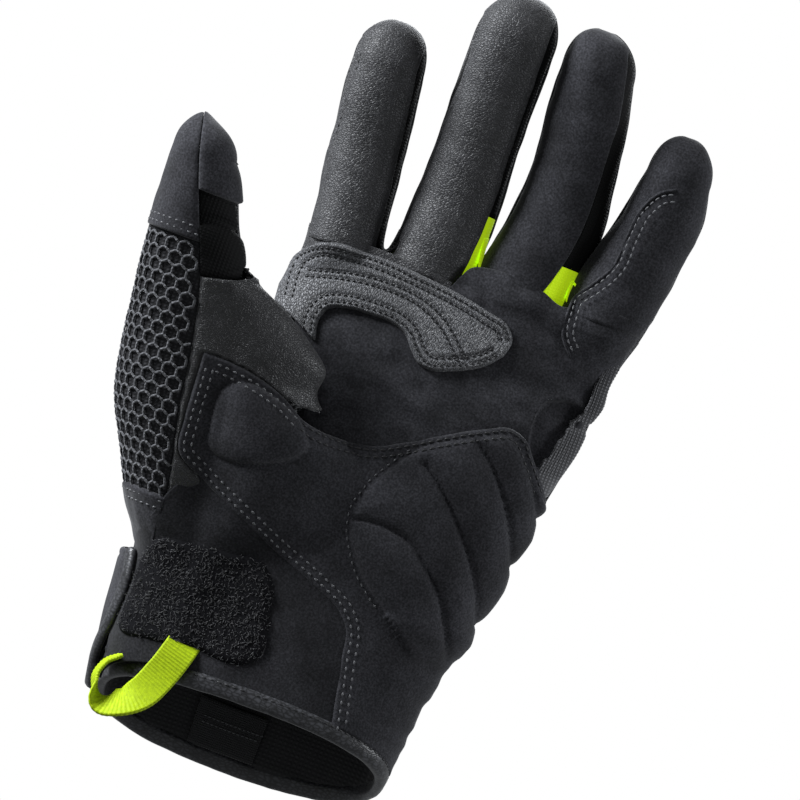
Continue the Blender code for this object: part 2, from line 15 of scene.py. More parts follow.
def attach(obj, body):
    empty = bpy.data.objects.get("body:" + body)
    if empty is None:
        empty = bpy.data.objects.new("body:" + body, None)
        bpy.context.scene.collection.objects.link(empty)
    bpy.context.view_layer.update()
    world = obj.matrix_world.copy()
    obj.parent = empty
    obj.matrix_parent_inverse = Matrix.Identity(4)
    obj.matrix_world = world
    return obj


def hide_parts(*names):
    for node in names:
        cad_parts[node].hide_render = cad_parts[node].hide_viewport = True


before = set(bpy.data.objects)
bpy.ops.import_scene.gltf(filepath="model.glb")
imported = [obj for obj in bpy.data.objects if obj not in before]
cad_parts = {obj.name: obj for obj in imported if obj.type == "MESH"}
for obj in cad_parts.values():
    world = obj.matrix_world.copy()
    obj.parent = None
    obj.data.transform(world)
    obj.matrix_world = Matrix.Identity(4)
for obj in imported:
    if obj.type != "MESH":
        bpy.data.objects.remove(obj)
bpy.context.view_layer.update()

# %% [markdown]
# A glove is a set of tubes: one for the hand, one for each finger, one for the thumb and a
# thin lens for the leather web between thumb and palm. Lofting each tube through a few
# sections is easier to steer than sculpting: a row holds a height and the four sides of the
# section there, in millimetres, and curves through the rows give every height between.

# %% The sections of each tube
MM = 0.001
Row = namedtuple("Row", "z left right front back")
Tip = namedtuple("Tip", "x y z")
Tube = namedtuple("Tube", "rows tip power dome", defaults=(0.425,))

HAND = Tube((
    Row(-30, -43, 46.5, -30.5, 31),
    Row(-10, -45.5, 48.5, -30.5, 31),
    Row(10, -47.5, 50.7, -30, 30),
    Row(30, -49.5, 53.5, -27.5, 27.5),
    Row(50, -50.5, 58.3, -26, 25.5),
    Row(75, -49.5, 62.6, -26, 24),
    Row(100, -45, 67.5, -23.5, 22),
    Row(125, -37.5, 72, -19.5, 20.5),
    Row(140, -33.5, 73.4, -16, 19.5),
    Row(158, -33, 77.5, -14, 16),
), Tip(22, 1, 170), 2.4)
INDEX = Tube((
    Row(147, -31.5, -8.8, -13.5, 15),
    Row(160, -33.2, -9.2, -14, 14.5),
    Row(175, -34.4, -10.6, -14, 13),
    Row(190, -36.5, -12, -14.5, 11),
    Row(205, -38, -13.8, -16.5, 8.5),
    Row(216, -38.4, -15.2, -18.5, 5.5),
), Tip(-27, -7, 229.5), 2.2)
MIDDLE = Tube((
    Row(147, -8, 20.5, -13.5, 16),
    Row(163, -6.2, 21.8, -14.5, 15.5),
    Row(180, -5, 22.4, -14.5, 14),
    Row(200, -4.2, 21.5, -16.5, 11),
    Row(220, -4.6, 21.2, -20, 6.5),
    Row(237, -4.2, 21.4, -23.5, 2),
), Tip(9.5, -12, 251), 2.2)
RING = Tube((
    Row(147, 20.5, 50.5, -13.5, 15.5),
    Row(163, 21.3, 52.6, -14, 15.5),
    Row(175, 24.3, 53.6, -14, 14),
    Row(188, 26.5, 56, -15, 12.5),
    Row(203, 27.2, 54.2, -17, 10),
    Row(222, 25.6, 52, -20.5, 5.5),
    Row(236, 25, 48.6, -23, 1.5),
), Tip(35, -12, 249.3), 2.2)
LITTLE = Tube((
    Row(147, 50, 74.4, -12.5, 14),
    Row(163, 51.3, 79.3, -13, 13.5),
    Row(175, 52.7, 81.8, -13.5, 12.5),
    Row(188, 56.9, 83.4, -14.5, 10.5),
    Row(203, 60.4, 84.8, -17, 7.5),
    Row(213, 62.2, 83, -19, 4.5),
), Tip(71.5, -9, 226.5), 2.2)
THUMB = Tube((
    Row(42, -49, -30, -21, 8),
    Row(52, -54.4, -30, -25, 8),
    Row(60, -59.3, -31, -28, 7),
    Row(73, -65.6, -32, -33, 5),
    Row(87, -72.3, -33, -37, 1),
    Row(105, -76, -36, -41, -6),
    Row(120, -77.6, -40, -45, -13),
    Row(131, -78.8, -43.5, -48, -19),
    Row(140, -79.3, -47.5, -50.5, -23),
    Row(150, -79.6, -53, -53, -28),
    Row(157, -79.6, -55.6, -55, -31.5),
    Row(164, -79.9, -59.0, -56, -34),
    Row(168, -79.8, -61.8, -56.5, -36.5),
), Tip(-75, -47, 179), 2.1, 0.85)
WEB = Tube((
    Row(50, -46, -12, -24, 0),
    Row(62, -52, 6, -29.5, 1),
    Row(78, -58, 13, -34.5, 0),
    Row(92, -62, 8, -37, 0),
    Row(101, -64, -4, -38.5, -2),
    Row(108, -64, -11.5, -40, -8),
    Row(118, -64, -12.6, -42.5, -14),
    Row(124, -64, -20, -44, -17),
    Row(130, -64, -29.5, -46, -20),
    Row(135.5, -64, -41, -48, -24),
), Tip(-50, -36, 137.8), 1.6)
FINGERS = {"index": INDEX, "middle": MIDDLE, "ring": RING, "little": LITTLE}
WALL = 1.8
print("tubes:", 3 + len(FINGERS))


# %% From rows to surfaces
def through(knots, values, at):
    """Cubic pieces through the knots whose slope at a knot is the chord's next to it."""
    knots, values, at = (np.asarray(v, float) for v in (knots, values, at))
    slope = np.gradient(values, knots)
    i = np.clip(np.searchsorted(knots, at) - 1, 0, len(knots) - 2)
    w = knots[i + 1] - knots[i]
    t = np.clip((at - knots[i]) / w, 0, 1)
    return (
        (2 * t**3 - 3 * t**2 + 1) * values[i] + (t**3 - 2 * t**2 + t) * w * slope[i]
        + (3 * t**2 - 2 * t**3) * values[i + 1] + (t**3 - t**2) * w * slope[i + 1]
    )


def section(tube, z):
    """Centre x and y, half width and half depth at heights z. Over the last row the section
    closes as a dome: half sizes times (1 - rise squared) to the power the tube names."""
    z = np.asarray(z, float)
    knots = [r.z for r in tube.rows]
    left, right, front, back = (
        through(knots, [getattr(r, n) for r in tube.rows], z) for n in Row._fields[1:]
    )
    rise = np.clip((z - knots[-1]) / (tube.tip.z - knots[-1]), 0, 1)
    shrink = np.maximum(1 - rise**2, 0) ** tube.dome
    cx, cy = (left + right) / 2, (front + back) / 2
    cx = cx + (tube.tip.x - cx) * rise**1.6
    cy = cy + (tube.tip.y - cy) * rise**1.6
    return cx, cy, (right - left) / 2 * shrink, (back - front) / 2 * shrink


def tube_point(tube, angle, z, lift=0.0):
    """A point of the tube's skin: the angle is 0 at the palm side and 90 degrees at +X.
    x = centre + a sin(angle), y = centre - b (1 - |sin|^p)^(1/p), with the cosine's sign."""
    cx, cy, a, b = section(tube, z)
    s, c = np.sin(angle), np.cos(angle)
    deep = np.maximum(1 - np.abs(s) ** tube.power, 0) ** (1 / tube.power)
    return np.stack(np.broadcast_arrays(
        cx + (a + lift) * s, cy - (b + lift) * deep * np.sign(c + 1e-9), z + 0 * s), -1)


def palm_side(tube, x, z, side=-1):
    """The y of the tube's palm side (or, with side 1, of its back) over each x and z."""
    cx, cy, a, b = section(tube, z)
    across = np.abs(x - cx) / np.maximum(a, 0.01)
    deep = np.maximum(1 - np.minimum(across, 1) ** tube.power, 0) ** (1 / tube.power)
    return cy + side * b * deep - side * np.maximum(np.abs(x - cx) - a, 0) * 3


def soft_min(a, b, k):
    """The smaller of two heights, with the corner between them rounded over k millimetres."""
    h = np.maximum(k - np.abs(a - b), 0) / k
    return np.minimum(a, b) - h * h * k / 4


def hand_height(x, z):
    """Hand and fingers as one palm side. A finger sinks in below its root."""
    y = palm_side(HAND, x, z)
    for tube in FINGERS.values():
        sunk = np.maximum(157 - z, 0) * 0.5
        y = soft_min(y, palm_side(tube, x, z) + sunk, 3.0)
    return y


def thenar_height(x, z):
    return soft_min(palm_side(THUMB, x, z), palm_side(WEB, x, z), 8.0)


def palm_height(x, z):
    """The whole palm side, where the ball of the thumb runs out into the hand."""
    return soft_min(hand_height(x, z), thenar_height(x, z), 9.0)


def lay(height, x, z, lift=0.0):
    """Points over x and z on a height, moved off it by lift along its normal, which is
    (dy/dx, -1, dy/dz) made unit length."""
    y, e = height(x, z), 0.25
    nx, nz = (height(x + e, z) - height(x - e, z)) / 2 / e, (height(x, z + e) - height(x, z - e)) / 2 / e
    n = np.stack([nx, -np.ones_like(y), nz], -1)
    n /= np.linalg.norm(n, axis=-1, keepdims=True)
    return np.stack([x, y, z], -1) + n * np.asarray(lift)[..., None], n


def normals(p):
    """Normals of a grid of points: the cross product of its two directions."""
    n = np.cross(np.gradient(p, axis=1), np.gradient(p, axis=0))
    return n / np.maximum(np.linalg.norm(n, axis=-1, keepdims=True), 1e-9)


def curve(points, step=1.0, closed=False):
    """A smooth curve through points, cut into pieces of about one step."""
    p = np.array(points, float)
    if closed:
        p = np.vstack([p, p[:1]])
    run = np.r_[0, np.cumsum(np.maximum(np.linalg.norm(np.diff(p, axis=0), axis=1), 1e-6))]
    at = np.linspace(0, run[-1], max(int(run[-1] / step), 8) + 1)
    if closed:
        wrap = [np.r_[run[-4:-1] - run[-1], run, run[-1] + run[1:4]], np.vstack([p[-4:-1], p, p[1:4]])]
        run, p = wrap
    out = np.stack([through(run, p[:, k], at) for k in range(p.shape[1])], -1)
    return out[:-1] if closed else out


def distance(x, z, line, closed=False):
    """How far each point (x, z) lies from a line of many short pieces."""
    a = np.asarray(line)
    b = np.roll(a, -1, 0) if closed else a[1:]
    a = a if closed else a[:-1]
    best = np.full(np.shape(x), 1e9)
    for p, q in zip(a, b):
        d = q - p
        t = np.clip(((x - p[0]) * d[0] + (z - p[1]) * d[1]) / max(d @ d, 1e-9), 0, 1)
        best = np.minimum(best, np.hypot(x - p[0] - t * d[0], z - p[1] - t * d[1]))
    return best


ripple = np.random.default_rng(4)
WAVES = ripple.normal(size=(14, 3)), ripple.uniform(0, 2 * np.pi, 14)


def unevenness(p, size):
    """A soft wandering value between about -1 and 1: fourteen sine waves of one size, each
    running its own way through space."""
    ways, starts = WAVES
    return np.sin(p @ ways.T * (2.2 / size) + starts).sum(-1) / 5


print("middle finger at 200 mm:", [round(float(v), 1) for v in section(MIDDLE, 200)])

# %% [markdown]
# Each finish is a node material. Suede is a matt nap: broad light and dark patches where it
# was brushed, fine speckle and a soft sheen. Leather is a grain of small cells with bright
# edges, so a Voronoi pattern drives its bump. Cloth shows its threads. Everything is read
# from Object coordinates in metres, so the scale of a pattern is its real size.

# %% Materials
def finish(name, colour, roughness=0.6, sheen=0.0, coat=0.0):
    """A Principled material with helpers to add nodes to it."""
    made = bpy.data.materials.new(name)
    made.use_nodes = True
    tree = made.node_tree
    shader = tree.nodes["Principled BSDF"]
    shader.inputs["Base Color"].default_value = (*colour, 1)
    shader.inputs["Roughness"].default_value = roughness
    shader.inputs["Sheen Weight"].default_value = sheen
    shader.inputs["Sheen Roughness"].default_value = 0.45
    shader.inputs["Coat Weight"].default_value = coat
    shader.inputs["Coat Roughness"].default_value = 0.35
    return made, tree, shader


def place(tree):
    return tree.nodes.new("ShaderNodeTexCoord").outputs["Object"]


def noise(tree, scale, detail=3.0, at=None):
    node = tree.nodes.new("ShaderNodeTexNoise")
    node.inputs["Scale"].default_value = scale
    node.inputs["Detail"].default_value = detail
    tree.links.new(at or place(tree), node.inputs["Vector"])
    return node.outputs["Fac"]


def cells(tree, scale, feature="DISTANCE_TO_EDGE", at=None):
    node = tree.nodes.new("ShaderNodeTexVoronoi")
    node.feature = feature
    node.inputs["Scale"].default_value = scale
    tree.links.new(at or place(tree), node.inputs["Vector"])
    return node.outputs["Distance"]


def ramp(tree, value, stops):
    """Colours or greys by value: stops of (position, colour)."""
    node = tree.nodes.new("ShaderNodeValToRGB")
    while len(node.color_ramp.elements) < len(stops):
        node.color_ramp.elements.new(0.5)
    for element, (position, colour) in zip(node.color_ramp.elements, stops):
        element.position, element.color = position, (*colour, 1)
    tree.links.new(value, node.inputs["Fac"])
    return node.outputs["Color"]


def grey(*values):
    return [(p, (v, v, v)) for p, v in values]


def blended(tree, first, second, mode="MULTIPLY", factor=1.0):
    node = tree.nodes.new("ShaderNodeMix")
    node.data_type, node.blend_type = "RGBA", mode
    node.inputs["Factor"].default_value = factor
    tree.links.new(first, node.inputs["A"])
    tree.links.new(second, node.inputs["B"])
    return node.outputs["Result"]


def bump(tree, shader, height, distance_mm, strength=1.0, after=None):
    node = tree.nodes.new("ShaderNodeBump")
    node.inputs["Distance"].default_value = distance_mm * MM
    node.inputs["Strength"].default_value = strength
    tree.links.new(height, node.inputs["Height"])
    if after:
        tree.links.new(after, node.inputs["Normal"])
    tree.links.new(node.outputs["Normal"], shader.inputs["Normal"])
    return node.outputs["Normal"]


def suede(name, low=0.013, high=0.026):
    made, tree, shader = finish(name, (low, low, low), 0.93, sheen=0.12)
    shader.inputs["Specular IOR Level"].default_value = 0.12
    speck = noise(tree, 1500, 2)
    patches = noise(tree, 60, 4)
    tone = ramp(tree, patches, [(0.3, (low, low, low * 1.12)), (0.72, (high, high, high * 1.14))])
    dots = ramp(tree, speck, grey((0.32, 0.55), (0.5, 0.95), (0.66, 1.5)))
    tree.links.new(blended(tree, tone, dots), shader.inputs["Base Color"])
    first = bump(tree, shader, noise(tree, 700, 3), 0.12, 0.8)
    bump(tree, shader, speck, 0.10, 0.7, first)
    return made


def leather(name, low, high, grain=800, roughness=0.5, deep=0.2, stretch=(1, 1, 1.9)):
    """Grain cells about a millimetre wide, drawn out across the stretch, in a wandering tone."""
    made, tree, shader = finish(name, low, roughness, sheen=0.1)
    shader.inputs["Specular IOR Level"].default_value = 0.5
    wander = tree.nodes.new("ShaderNodeTexNoise")
    wander.inputs["Scale"].default_value = grain / 2
    tree.links.new(place(tree), wander.inputs["Vector"])
    warp = tree.nodes.new("ShaderNodeMapping")
    warp.inputs["Scale"].default_value = stretch
    shifted = tree.nodes.new("ShaderNodeVectorMath")
    shifted.operation = "MULTIPLY_ADD"
    shifted.inputs[1].default_value = (1.1 / grain,) * 3
    tree.links.new(wander.outputs["Color"], shifted.inputs[0])
    tree.links.new(place(tree), shifted.inputs[2])
    tree.links.new(shifted.outputs["Vector"], warp.inputs["Vector"])
    grains = cells(tree, grain, at=warp.outputs["Vector"])
    tone = ramp(tree, noise(tree, 55, 4), [(0.3, low), (0.7, high)])
    edges = ramp(tree, grains, grey((0.0, 0.15), (0.16, 0.9), (0.4, 1.6)))
    tree.links.new(blended(tree, tone, edges), shader.inputs["Base Color"])
    shine = ramp(tree, noise(tree, 90, 3), grey((0.3, roughness - 0.04), (0.7, roughness + 0.08)))
    tree.links.new(shine, shader.inputs["Roughness"])
    rise = ramp(tree, grains, grey((0.0, 0.0), (0.14, 0.6), (0.5, 1.0)))
    first = bump(tree, shader, rise, deep, 1.0)
    bump(tree, shader, noise(tree, 420, 3), 0.08, 0.5, first)
    return made


def threads(name, colour, high, scale=900, axis="X", roughness=0.85, sheen=0.15, gloss=0.5):
    """A fine knit: two crossing waves of bands give the ribs and the stitches on them."""
    made, tree, shader = finish(name, colour, roughness, sheen)
    shader.inputs["Specular IOR Level"].default_value = gloss
    rib = tree.nodes.new("ShaderNodeTexWave")
    rib.bands_direction = axis
    rib.inputs["Scale"].default_value = scale / 6
    tree.links.new(place(tree), rib.inputs["Vector"])
    cross = tree.nodes.new("ShaderNodeTexWave")
    cross.bands_direction = "Z"
    cross.inputs["Scale"].default_value = scale / 5
    tree.links.new(place(tree), cross.inputs["Vector"])
    weave = blended(tree, rib.outputs["Fac"], cross.outputs["Fac"], "MULTIPLY")
    tone = ramp(tree, weave, [(0.0, colour), (1.0, high)])
    tree.links.new(tone, shader.inputs["Base Color"])
    bump(tree, shader, weave, 0.22, 0.9)
    return made


SUEDE = suede("charcoal suede", 0.016, 0.033)
WRIST_SUEDE = suede("wrist suede", 0.010, 0.020)
LEATHER = leather("black grained leather", (0.014, 0.014, 0.016), (0.024, 0.024, 0.027), 860, 0.5, 0.15)
THUMB_LEATHER = leather("thumb leather", (0.010, 0.010, 0.011), (0.018, 0.018, 0.020), 1000, 0.42, 0.14)
BACK_LEATHER = leather("back leather", (0.012, 0.012, 0.013), (0.022, 0.022, 0.024), 700, 0.45, 0.2)
BAR_LEATHER = leather("grey bar leather", (0.050, 0.051, 0.055), (0.078, 0.080, 0.087), 900, 0.5, 0.22, (2.0, 1, 0.8))
TRIM_LEATHER = leather("trim leather", (0.022, 0.022, 0.025), (0.036, 0.037, 0.041), 520, 0.33, 0.04)
GREY_THREAD = finish("grey thread", (0.060, 0.061, 0.066), 0.5, sheen=0.3)[0]
BLACK_THREAD = finish("black thread", (0.005, 0.005, 0.006), 0.6)[0]
STRETCH = threads("black stretch cloth", (0.003, 0.003, 0.003), (0.005, 0.005, 0.005), 1500, sheen=0.0, gloss=0.15)
KNIT = threads("black ribbed knit", (0.020, 0.020, 0.022), (0.13, 0.13, 0.14), 1600, sheen=0.6)
MESH_BASE = threads("mesh backing", (0.010, 0.010, 0.011), (0.026, 0.026, 0.029), 1300, sheen=0.0, gloss=0.2)
LINER = threads("black liner", (0.006, 0.006, 0.007), (0.015, 0.015, 0.016), 1100)
LABEL = threads("label cloth", (0.010, 0.010, 0.011), (0.020, 0.020, 0.021), 2200)
NEON = threads("neon stretch cloth with painted glow", (0.60, 0.86, 0.004), (0.78, 1.0, 0.012), 1500)
# Painted glow: the neon cloth emits a little light of its own colour so that its recessed webs between the fingers
# read bright. This is painted light, not a lamp.
glow = NEON.node_tree.nodes["Principled BSDF"].inputs
glow["Emission Color"].default_value = (0.55, 0.85, 0.002, 1)
glow["Emission Strength"].default_value = 0.4
print("materials:", len(bpy.data.materials))


# %% From grids of points to objects
def mesh_object(name, grids, material, wall=0.0, around=False):
    """One object from one or more grids of points in millimetres, as smooth quads. With a
    wall, Solidify gives the sheet its thickness, inwards."""
    points, faces, start = [], [], 0
    for grid in grids:
        rows, cols = grid.shape[:2]
        i = np.arange(rows * cols).reshape(rows, cols) + start
        right = np.roll(i, -1, 1) if around else i[:, 1:]
        left = i if around else i[:, :-1]
        faces.append(np.stack([left[:-1], right[:-1], right[1:], left[1:]], -1).reshape(-1, 4))
        points.append(grid.reshape(-1, 3))
        start += rows * cols
    points, faces = np.vstack(points) * MM, np.vstack(faces)
    mesh = bpy.data.meshes.new(name)
    mesh.from_pydata(points.tolist(), [], faces.tolist())
    mesh.shade_smooth()
    made = bpy.data.objects.new(name, mesh)
    bpy.context.scene.collection.objects.link(made)
    mesh.materials.append(material)
    if wall:
        thick = made.modifiers.new("wall", "SOLIDIFY")
        thick.thickness, thick.offset = wall * MM, -1
    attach(made, "root")
    print(f"{name}: {len(faces)} quads")
    return made


# %% [markdown]
# Stitches are what makes a glove read as sewn. One stitch is a short thread that dives into
# the leather at both ends, so a small spindle with six sides is enough. It is repeated along
# each seam at a fixed pitch, in one joined mesh, turned to the seam's direction and lying on
# the surface under it.

# %% Stitches along a seam
def spindle(length, radius, sides=6):
    """A stitch along X: rings whose radius is a half wave, so it is pointed at both ends."""
    t = np.array([0.0, 0.18, 0.5, 0.82, 1.0])
    turn = np.linspace(0, 2 * np.pi, sides, endpoint=False)
    r = radius * np.sin(np.pi * t) ** 0.6 + 0.02
    x = (t - 0.5)[:, None] * length + 0 * turn
    return np.stack([x, r[:, None] * np.cos(turn), r[:, None] * np.sin(turn) * 0.75], -1)


def stitches(name, seams, material, pitch=2.7, length=2.0, radius=0.36):
    """Spindles along seams, each seam a pair of arrays: points and surface normals."""
    model = spindle(length, radius)
    rings, sides = model.shape[:2]
    centres, frames = [], []
    for p, n in seams:
        run = np.r_[0, np.cumsum(np.linalg.norm(np.diff(p, axis=0), axis=1))]
        at = np.arange(pitch / 2, run[-1], pitch)
        c = np.stack([np.interp(at, run, p[:, k]) for k in range(3)], -1)
        up = np.stack([np.interp(at, run, n[:, k]) for k in range(3)], -1)
        ahead = np.stack([np.interp(at + 0.6, run, p[:, k]) - np.interp(at - 0.6, run, p[:, k])
                          for k in range(3)], -1)
        up /= np.linalg.norm(up, axis=1, keepdims=True)
        ahead -= (ahead * up).sum(1, keepdims=True) * up
        ahead /= np.maximum(np.linalg.norm(ahead, axis=1, keepdims=True), 1e-9)
        centres.append(c)
        frames.append(np.stack([ahead, np.cross(up, ahead), up], 1))
    centres, frames = np.vstack(centres), np.vstack(frames)
    points = np.einsum("rsk,nkj->nrsj", model, frames) + centres[:, None, None]
    i = np.arange(rings * sides).reshape(rings, sides)
    quad = np.stack([i[:-1], np.roll(i, -1, 1)[:-1], np.roll(i, -1, 1)[1:], i[1:]], -1).reshape(-1, 4)
    faces = (quad[None] + (np.arange(len(centres)) * rings * sides)[:, None, None]).reshape(-1, 4)
    mesh = bpy.data.meshes.new(name)
    mesh.from_pydata((points.reshape(-1, 3) * MM).tolist(), [], faces.tolist())
    mesh.shade_smooth()
    mesh.materials.append(material)
    made = bpy.data.objects.new(name, mesh)
    bpy.context.scene.collection.objects.link(made)
    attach(made, "root")
    print(f"{name}: {len(centres)} stitches")
    return made


def sideways(line, by):
    """A line in x and z moved sideways by so many millimetres."""
    d = np.gradient(np.asarray(line), axis=0)
    d /= np.maximum(np.linalg.norm(d, axis=1, keepdims=True), 1e-9)
    return line + by * np.stack([-d[:, 1], d[:, 0]], -1)


def seam_on(height, line, lift):
    """A seam laid on a height: its points, lifted, and the surface's normals there."""
    return lay(height, line[:, 0], line[:, 1], np.full(len(line), float(lift)))


# %% Lower palm: where its edges run
PALM_EDGE = ((-50, 110), (-49.4, 100), (-48.8, 88), (-47.3, 78), (-36, 71.2), (-25, 66),
             (-10, 59), (10, 50.7), (17.5, 47), (20.6, 43.6), (23.5, 32), (28.3, 8.5))
PALM_TOP = ((-50, 110), (-40, 109.6), (-29, 107.6), (-21, 104.6), (-13, 100), (0, 98.5),
            (10, 100), (20, 105), (30, 111), (40, 116.5), (50, 120.3), (55.5, 118.3), (59, 114),
            (62.8, 109.5), (67.4, 103.2))
THENAR_PAD = ((-39, 102.5), (-33, 105.4), (-25, 103.8), (-13, 97.5), (-9.3, 92), (-12.5, 87.5),
              (-20, 83.4), (-30, 80.3), (-38, 82), (-40.5, 90))
QUILT = (
    ((24.5, 105), (18, 96), (13, 87), (10.7, 80), (11.5, 74.4), (15, 67.4), (19, 61.5), (25, 56), (31, 51.5)),
    ((11.3, 76), (16.7, 77), (25, 76.8), (32.5, 74.6), (38, 70), (44, 64), (49.4, 55), (54.5, 44)),
    ((27.4, 100), (34, 95), (42, 87), (49.3, 78), (54.8, 68.7), (59.5, 57)),
    ((40, 112.8), (47, 107), (53, 99.5), (58.7, 90), (63.4, 78)),
    ((50.7, 117.5), (57, 111.6), (62.4, 103.6), (67, 94)),
)
QUILT_LINES = [curve(q) for q in QUILT]
QUILT_TOP = curve(((24.5, 105), (30, 108.6), (40, 113.8), (50, 117.6), (56, 114), (64, 105), (90, 80)))
PAD_LINE = curve(THENAR_PAD, closed=True)
print("quilt channels:", len(QUILT_LINES) - 1)


# %% [markdown]
# The lower palm is one piece of suede. It laps over the thumb's leather and over the wrist,
# and it is padded twice: a single pillow on the ball of the thumb and a quilted one under the
# little finger. Foam under cloth swells most away from its seams, so the height of a pad
# comes from the distance to the nearest seam, like the arch of a circle.

# %% Lower palm
def arch(d, reach):
    """0 at a seam, 1 from reach millimetres away, rising like a quarter circle."""
    t = np.clip(d / reach, 0, 1)
    return np.sqrt(np.maximum(1 - (1 - t) ** 2, 0))


def inside(x, z, line):
    """Whether points lie inside a closed line, by how often a ray to the right crosses it."""
    a, b = np.asarray(line), np.roll(line, -1, 0)
    hit = np.zeros(np.shape(x), int)
    for p, q in zip(a, b):
        crosses = (p[1] > z) != (q[1] > z)
        hit += crosses & (x < (q[0] - p[0]) * (z - p[1]) / ((q[1] - p[1]) or 1e-9) + p[0])
    return hit % 2 == 1


def quilt_lift(x, z):
    """The height of the quilted pad: an arch between channels, nothing left of its edge."""
    edge = distance(x, z, QUILT_LINES[0])
    top = distance(x, z, QUILT_TOP)
    channels = np.min([distance(x, z, line) for line in QUILT_LINES[1:]], axis=0)
    bound = np.vstack([QUILT_LINES[0][::-1], QUILT_TOP, [(90, 30), (50, 36)]])
    body = inside(x, z, bound)
    d = np.minimum(np.minimum(edge, top), channels)
    low = np.clip((z - 40) / 10, 0, 1)
    return np.where(body, 2.7 * arch(d, 10.5) * low, 0) - 0.4 * np.exp(-(d / 0.8) ** 2) * body


def thenar_lift(x, z):
    d = distance(x, z, PAD_LINE, closed=True)
    return np.where(inside(x, z, PAD_LINE), 2.5 * arch(d, 10), -0.3 * np.exp(-(d / 1.2) ** 2))


def hand_angle(x, z):
    cx, _, a, _ = section(HAND, z)
    return np.arcsin(np.clip((x - cx) / a, -1, 1))


def edge_drop(d, thick=1.0, round_mm=1.1):
    """How a laid-on edge rises: from just under the skin to its thickness, rounded."""
    return -0.5 + (thick + 0.5) * arch(d, round_mm)


low_edge, top_edge = curve(PALM_EDGE, 0.8), curve(PALM_TOP, 0.8)
RIM_HEIGHT, RIM_SLOPE, BINDING = -3.75, 0.425, 5.5


def rim_z(angle, above):
    """Height on the hand's tube that lies so far above the slanting rim: z = rim height minus
    slope times y, found by repeating it with the y of the last guess."""
    z = np.full(np.shape(angle), 0.0)
    for _ in range(8):
        z = RIM_HEIGHT - RIM_SLOPE * tube_point(HAND, angle, z)[..., 1] + above
    return z


def spread(line, count):
    """A line cut again into count points, evenly along its length."""
    run = np.r_[0, np.cumsum(np.linalg.norm(np.diff(line, axis=0), axis=1))]
    at = np.linspace(0, run[-1], count)
    return np.stack([np.interp(at, run, line[:, k]) for k in (0, 1)], -1)


def between(lower, upper, cols, rows, bend=1.0):
    """A patch in x and z: straight rulings from a lower line to an upper one."""
    lower, upper = spread(lower, cols), spread(upper, cols)
    v = (np.linspace(0, 1, rows) ** bend)[:, None]
    return (1 - v) * lower[:, 0] + v * upper[:, 0], (1 - v) * lower[:, 1] + v * upper[:, 1]


def skin(x, z, lift, height=palm_height):
    """A patch laid on the palm and raised along its normals."""
    base = np.stack([x, height(x, z), z], -1)
    return base + normals(base) * np.asarray(lift)[..., None]


def lower_lift(x, z):
    """How far the lower palm stands off the glove: its rolled edge, its pads, its puckers."""
    d = np.minimum(distance(x, z, low_edge), distance(x, z, top_edge))
    lift = edge_drop(d) + quilt_lift(x, z) + thenar_lift(x, z)
    flat = np.stack([x, 0 * x, z], -1)
    pucker = np.exp(-((x - 55 + 0.12 * (60 - z)) / 9) ** 2) * np.clip((66 - z) / 14, 0, 1)
    lift += 0.35 * unevenness(flat, 16) * arch(d, 6)
    return lift + 0.55 * pucker * unevenness(flat * np.array([0.5, 1, 1.0]), 4.2)


foot_angle = np.linspace(hand_angle(28.3, 8.5), 1.5, 40)
foot = tube_point(HAND, foot_angle, rim_z(foot_angle, BINDING - 0.6))[1:, [0, 2]]
x, z = between(np.vstack([low_edge, foot]), top_edge, 170, 110)
cx, _, a, _ = section(HAND, z)
x = np.minimum(x, cx + a * 0.9995)
lift = lower_lift(x, z)
palm_skin = mesh_object("palm_lower_suede", [skin(x, z, lift)], SUEDE, 0.9)
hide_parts("palm_lower", "thenar_pad", "hypothenar_pad")


def palm_seam(line, raised=0.12):
    """A row of stitches that follows the lower palm over its pads."""
    return seam_on(palm_height, line, 0) if raised is None else lay(
        palm_height, line[:, 0], line[:, 1], lower_lift(line[:, 0], line[:, 1]) + raised)


rows = [sideways(low_edge[5:-4], by) for by in (2.1, 4.4)] + [sideways(top_edge[6:47], -by) for by in (2.2, 4.5)]
stitches("palm_light_stitches", [palm_seam(row) for row in rows], GREY_THREAD, 2.7, 1.35, 0.34)
rows = [sideways(top_edge[48:-2], -by) for by in (1.5, 3.7)]
stitches("cross_seam_stitches", [palm_seam(row) for row in rows], BLACK_THREAD, 2.6, 1.9, 0.38)
rows = [sideways(QUILT_LINES[0][3:-3], -1.1)]
stitches("quilt_edge_stitches", [palm_seam(row) for row in rows], GREY_THREAD, 2.6, 1.2, 0.24)


# %% [markdown]
# Above the cross seam the palm runs on without a seam into the ring and little finger. One
# patch on the palm's height covers it up to the finger roots, where the finger tubes, which
# follow the same rows, carry on at the same skin.

# %% Upper palm
ROOTS = ((-31.5, 150), (-9, 150), (8, 151), (15, 155), (20.5, 164), (30, 166), (44, 164.5),
         (51, 162), (60, 165.5), (79.3, 165))


def right_limit(z):
    """The hand's right side, handed over to the little finger above its root."""
    cx, _, a, _ = section(HAND, np.minimum(z, 156))
    fx, _, fa, _ = section(LITTLE, np.maximum(z, 147))
    t = np.clip((z - 147) / 9, 0, 1)
    return (cx + a) * (1 - t) + (fx + fa) * t


def left_limit(z):
    """The hand's left side, handed over to the index finger below its root."""
    cx, _, a, _ = section(HAND, np.minimum(z, 156))
    fx, _, fa, _ = section(INDEX, np.maximum(z, 147))
    t = np.clip((z - 149) / 8, 0, 1)
    return (cx - a) * (1 - t) + (fx - fa) * t


